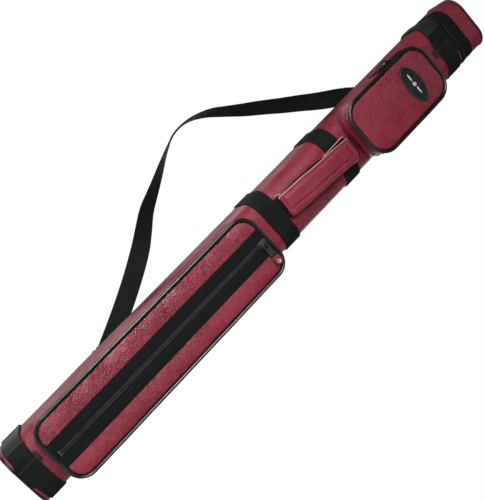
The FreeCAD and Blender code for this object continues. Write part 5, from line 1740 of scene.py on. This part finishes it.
GRIP_Y = GRIP_MID[1]
grip_end = GRIP_MID + ALONG * (GRIP_HALF - 4)
band_x, band_z = 4.5, (UPPER_LOW + UPPER_HIGH) / 2
handle_end("handle_webbing_top", "handle_tab_upper handle_webbing", [
    (band_x, -HALF - 0.1, band_z - 9),
    (band_x, -HALF - 0.3, band_z),
    (band_x, -HALF - 0.6, UPPER_HIGH - 1.5),
    (band_x + 0.6, -HALF - 1.7, UPPER_HIGH + 2.4),
    ((band_x + grip_end[0]) / 2, (GRIP_Y - HALF - 3.0) / 2, grip_end[2] + 8.5),
    (grip_end[0], GRIP_Y - 0.6, grip_end[2] + 4.6),
    grip_end - ALONG * 8], width=27.0)
grip_end = GRIP_MID - ALONG * (GRIP_HALF - 4)
band_x, band_z = -5.0, (LOWER_LOW + LOWER_HIGH) / 2
handle_end("handle_webbing_bottom", "handle_tab_lower", [
    (band_x, -HALF - 0.2, band_z),
    (band_x, -HALF - 0.3, LOWER_HIGH - 9),
    (band_x, -HALF - 0.7, LOWER_HIGH - 1.0),
    (band_x + 0.4, -HALF - 1.7, LOWER_HIGH + 2.6),
    (grip_end[0] - 0.6, GRIP_Y + 3.4, LOWER_HIGH + 9),
    (grip_end[0] + 0.6, GRIP_Y + 0.9, LOWER_HIGH + 18),
    grip_end + ALONG * 26], width=30.0)

# ------------------------------------------------------------------ shoulder strap
# middle line from the upper ring to the lower: x, z, turn of the width out of the
# side view in degrees
STRAP_LINE = np.array([
    (-18.6, 671.9, 0), (-30, 657.6, 0), (-40, 642.5, 8), (-55.1, 617.5, 25),
    (-73.3, 590.1, 38), (-95, 558.4, 47), (-117.5, 525.8, 56), (-137.7, 497.4, 68),
    (-152.9, 475.8, 78), (-160.8, 456.8, 85), (-163.3, 438.8, 88), (-161.3, 420.8, 83),
    (-154.5, 405.0, 76), (-145.6, 387.9, 68), (-136.2, 369.9, 58), (-125.2, 349, 46),
    (-113.4, 327.2, 34), (-99.9, 309.3, 20), (-87.3, 292.8, 8), (-77.1, 276.6, 0),
    (-57.0, 240.0, 0), (-34.0, 192, 0), (-13.2, 145, 0)], float)
RING_Y = box("d_ring_upper").mid[1]
STRAP_WIDTH, STRAP_THICK = 25.0, 1.7
LOOP_REACH = 17.0           # from a ring's centre to the turn of the strap's end


def hermite(where, keys, values):
    """Cubic through values at keys, with slopes taken from their neighbours."""
    i = np.clip(np.searchsorted(keys, where) - 1, 0, len(keys) - 2)
    gap = (keys[i + 1] - keys[i])[:, None]
    t = (where - keys[i])[:, None] / gap
    slopes = np.gradient(values, keys, axis=0)
    return ((2 * t ** 3 - 3 * t ** 2 + 1) * values[i]
            + (t ** 3 - 2 * t ** 2 + t) * gap * slopes[i]
            + (-2 * t ** 3 + 3 * t ** 2) * values[i + 1]
            + (t ** 3 - t ** 2) * gap * slopes[i + 1])


def shoulder_strap():
    """The strap's webbing; returns its middle line."""
    keys = arc_lengths(STRAP_LINE[:, :2])
    total = keys[-1]
    arcs = np.append(np.arange(0, total, 2.2), total)
    line = hermite(arcs, keys, STRAP_LINE[:, :2])
    turn = np.interp(arcs, keys, STRAP_LINE[:, 2])
    turn = np.radians(np.convolve(np.pad(turn, 4, mode="edge"), np.ones(9) / 9, "valid"))
    direction = upright(unit(np.gradient(line, arcs, axis=0)))
    width_axis = (np.cross(BACK, direction) * np.cos(turn)[:, None]
                  + FRONT * np.sin(turn)[:, None])
    calm = smooth(total - arcs, 105, 160)       # the adjuster sits on the flat lower end
    path = upright(line, RING_Y - STRAP_WIDTH / 2 * np.sin(turn) * 0.96
                   + 0.35 * wave(arcs * 0.03, arcs * 0, 111) * calm)
    loop = bar_loop(STRAP_THICK, STRAP_WIDTH, 0.55) + (-STRAP_THICK / 2, 0.0)
    loops = np.repeat(loop[None], len(arcs), 0)
    part = loops[:, :, 1] / (STRAP_WIDTH / 2)
    arc = arcs[:, None]
    ripple = 0.22 * np.sin(arc * 0.11 + 2.5 * part)
    cup = 0.30 * (part ** 2 - 0.3) * wave(arc * 0.02, part * 0, 112) * 2
    loops[:, :, 0] += (ripple + cup) * (smooth(arcs, 15, 60) * calm)[:, None]
    mesh = sweep(path, np.cross(direction, width_axis), width_axis, loops, closed=False)
    add("shoulder_strap_webbing", mesh, WEBBING, "webbing", "shoulder_strap", "strap")
    return path


def strap_end(name, ring, base):
    """The strap's end at base, taken round the ring's bow and sewn down behind itself."""
    centre = np.array([-3.0, RING_Y, box(ring).mid[2]])
    direction = unit((base - centre) * (1, 0, 1))
    width_axis = np.cross(BACK, direction)
    far = float(np.dot(base - centre, direction)) + 2
    radius = 1.8 + STRAP_THICK / 2 + 0.35
    # distance from the ring's centre, y: front run, turn, back run
    front = np.c_[np.linspace(far, LOOP_REACH, 9), -radius * np.linspace(0, 1, 9) ** 0.7]
    angle = np.linspace(0, math.pi, 15)[1:-1]
    turn = np.c_[LOOP_REACH - radius * np.sin(angle), -radius * np.cos(angle)]
    k = np.arange(15)
    drawn_in = np.where(k < 4, 1, np.maximum(0.66, 1 - (k - 4) * 0.12))
    back = np.c_[LOOP_REACH + k * 2.4, radius * drawn_in]
    run = np.vstack([front, turn, back])
    path = centre + run[:, :1] * direction + run[:, 1:] * BACK
    loop = bar_loop(STRAP_THICK, STRAP_WIDTH - 1.0, 0.5) + (-STRAP_THICK / 2, 0.0)
    points, faces, uvs = sweep(path, np.cross(tangents(path), width_axis), width_axis, loop,
                               closed=False)
    # near the ring the webbing follows its bow
    off = np.minimum(abs(loop[:, 1]), LOOP_REACH - 1)
    bow = round_off(LOOP_REACH - off, LOOP_REACH)
    near = np.exp(-np.maximum(0, run[:, :1] - LOOP_REACH) / 9.0)
    points = points - (bow * near).reshape(-1, 1) * direction
    add(name, (points, faces, uvs), WEBBING, "webbing", body="strap")
    low, high, half = LOOP_REACH + 12, LOOP_REACH + 30, 9.5
    seam_y = radius * 0.66 + STRAP_THICK / 2 + 0.05
    corners = [(low, -half), (low, half), (high, half), (high, -half)]
    lines = [centre + line[:, :1] * direction + line[:, 1:] * width_axis + (0, seam_y, 0)
             for line in box_cross(corners, 24)]
    stitches(name + "_stitches", lines, 2.5, (2.0, 0.6, 0.5), THREAD, "webbing", out=BACK,
             body="strap")


strap_path = shoulder_strap()
strap_end("strap_end_upper", "d_ring_upper", strap_path[0])
strap_end("strap_end_lower", "d_ring_lower", strap_path[-1])

for node_name, finish in (("d_ring_upper", STEEL), ("d_ring_lower", STEEL),
                          ("strap_adjuster", PLASTIC)):
    ring_data = finish_cad(node_name, finish)
    ring_data.polygons.foreach_set("use_smooth", [True] * len(ring_data.polygons))


def back_loop(name, node):
    """Webbing sewn to the back on both sides of a ring's straight bar."""
    piece = box(node)
    base, z, height = piece.low[1], piece.mid[2], piece.size[2]
    radius = 2.15 + 0.75
    foot = 17.5
    side_points = [(foot, base + 0.75), (foot * 0.6, base + 0.75),
                   (radius * 1.9, base + 0.85), (radius * 1.25, base + 1.4)]
    plan = [(-x, y) for x, y in side_points]
    plan += [(radius * math.cos(angle), RING_Y + radius * math.sin(angle))
             for angle in np.linspace(math.pi * 1.06, -math.pi * 0.06, 17)]
    plan += side_points[::-1]
    path = raised(np.array(plan), z)
    mesh = sweep(path, np.cross(tangents(path), UP), UP,
                 bar_loop(1.4, height, 0.45) + (-0.7, 0), closed=False)
    add(name, mesh, WEBBING, "webbing", node)
    near, far = 6.6, 15.6
    low, high = z - height / 2 + 2.4, z + height / 2 - 2.4
    seam = box_cross([(near, low), (near, high), (far, high), (far, low)], 20)
    lines = [upright(line * (hand, 1), base + 1.5) for hand in (-1, 1) for line in seam]
    stitches(name + "_stitches", lines, 2.4, (1.9, 0.6, 0.5), THREAD, "webbing", out=BACK)


back_loop("back_loop_upper", "strap_anchor_upper")
back_loop("back_loop_lower", "strap_anchor_lower")


# ------------------------------------------------------------------ floor (metres from here on)
def floor(radius=14.0, z=-0.0004, count=96):
    data = bpy.data.meshes.new("floor")
    points = np.vstack([[(0, 0, z)], raised(circle_loop(radius, count), z)])
    faces = [[0, 1 + i, 1 + (i + 1) % count] for i in range(count)]
    data.from_pydata(points.tolist(), [], faces)
    made = bpy.data.objects.new("floor", data)
    bpy.context.scene.collection.objects.link(made)
    shader = Shader("floor_pale")
    drift = shader.noise(scale=6, detail=3, rough=0.5)
    seen = shader.take(shader.node("ShaderNodeLightPath"), "Is Camera Ray")
    data.materials.append(shader.surface(
        Base_Color=shader.mix(drift, (0.86, 0.86, 0.86), (0.90, 0.90, 0.895)),
        Roughness=0.85,
        Specular_IOR_Level=0.05,
        Emission_Color=(1, 1, 1),
        Emission_Strength=seen * 0.88))


floor()


# ------------------------------------------------------------------ lights
def area(name, place, target, size, power, spread=180):
    """An area light aimed at a target; power in watts, spread in degrees."""
    light = bpy.data.lights.new(name, "AREA")
    light.shape = "RECTANGLE"
    light.size, light.size_y = size
    light.energy = power
    light.spread = math.radians(spread)
    made = bpy.data.objects.new(name, light)
    made.location = place
    made.visible_camera = False
    aim = Vector(target) - Vector(place)
    made.rotation_euler = aim.to_track_quat("-Z", "Y").to_euler()
    bpy.context.scene.collection.objects.link(made)


CASE_MID = (0, 0, LID_TOP / 2000)
area("key_left", (-1.20, -0.85, 0.35), (0, 0, 0.25), size=(0.14, 0.45), power=2.4, spread=100)
area("edge_left", (-1.05, 1.25, 0.55), (0, 0, 0.45), size=(0.8, 1.2), power=10)
area("front_soft", (-0.75, -1.40, 0.36), (0, 0, 0.15), size=(0.8, 0.7), power=6.0, spread=75)
area("top_soft", (0.3, -0.6, 2.1), CASE_MID, size=(1.0, 1.0), power=4)
area("back_soft", (0.9, 1.9, 1.2), CASE_MID, size=(1.2, 1.2), power=13)
area("right_soft", (2.2, 0.25, 0.9), CASE_MID, size=(1.4, 1.4), power=9)


def studio(diffuse=0.15, glossy=0.05, seen=1.0):
    """White world: its strength for diffuse and glossy rays, and as the camera sees it."""
    world = bpy.data.worlds.new("studio")
    bpy.context.scene.world = world
    world.use_nodes = True
    tree = world.node_tree
    tree.nodes.clear()
    kinds = ("OutputWorld", "MixShader", "LightPath", "Background", "Background", "MapRange")
    output, mix, rays, room, backdrop, dimmer = (
        tree.nodes.new("ShaderNode" + kind) for kind in kinds)
    for background in (room, backdrop):
        background.inputs[0].default_value = (1, 1, 1, 1)
    backdrop.inputs[1].default_value = seen
    dimmer.inputs[3].default_value = diffuse
    dimmer.inputs[4].default_value = glossy
    for start, end in (
            (rays.outputs["Is Glossy Ray"], dimmer.inputs[0]),
            (dimmer.outputs[0], room.inputs[1]),
            (rays.outputs["Is Camera Ray"], mix.inputs[0]),
            (room.outputs[0], mix.inputs[1]),
            (backdrop.outputs[0], mix.inputs[2]),
            (mix.outputs[0], output.inputs[0])):
        tree.links.new(start, end)


studio()


# ------------------------------------------------------------------ camera
CAMERA_PLACE = (-0.180563, -0.934627, 0.137908)
YAW, ELEVATION = 0.19369687183533263, 0.24572692648793978      # radians
ROLLS = (0.005540067834223092, math.radians(43.63))            # level error, then the tilt


def camera():
    forward = Vector((math.sin(YAW) * math.cos(ELEVATION), math.cos(YAW) * math.cos(ELEVATION),
                      math.sin(ELEVATION)))
    right = Vector((math.cos(YAW), -math.sin(YAW), 0))
    above = right.cross(forward)
    for roll in ROLLS:
        right, above = (math.cos(roll) * right + math.sin(roll) * above,
                        -math.sin(roll) * right + math.cos(roll) * above)
    data = bpy.data.cameras.new("camera")
    data.lens = 55.18
    data.sensor_width = 36.0
    data.sensor_fit = "AUTO"
    data.clip_start = 0.01
    data.clip_end = 60
    made = bpy.data.objects.new("camera", data)
    matrix = Matrix((right, above, -forward)).transposed().to_4x4()
    matrix.translation = CAMERA_PLACE
    made.matrix_world = matrix
    bpy.context.scene.collection.objects.link(made)
    bpy.context.scene.camera = made


camera()
bpy.context.scene.view_settings.view_transform = "Standard"
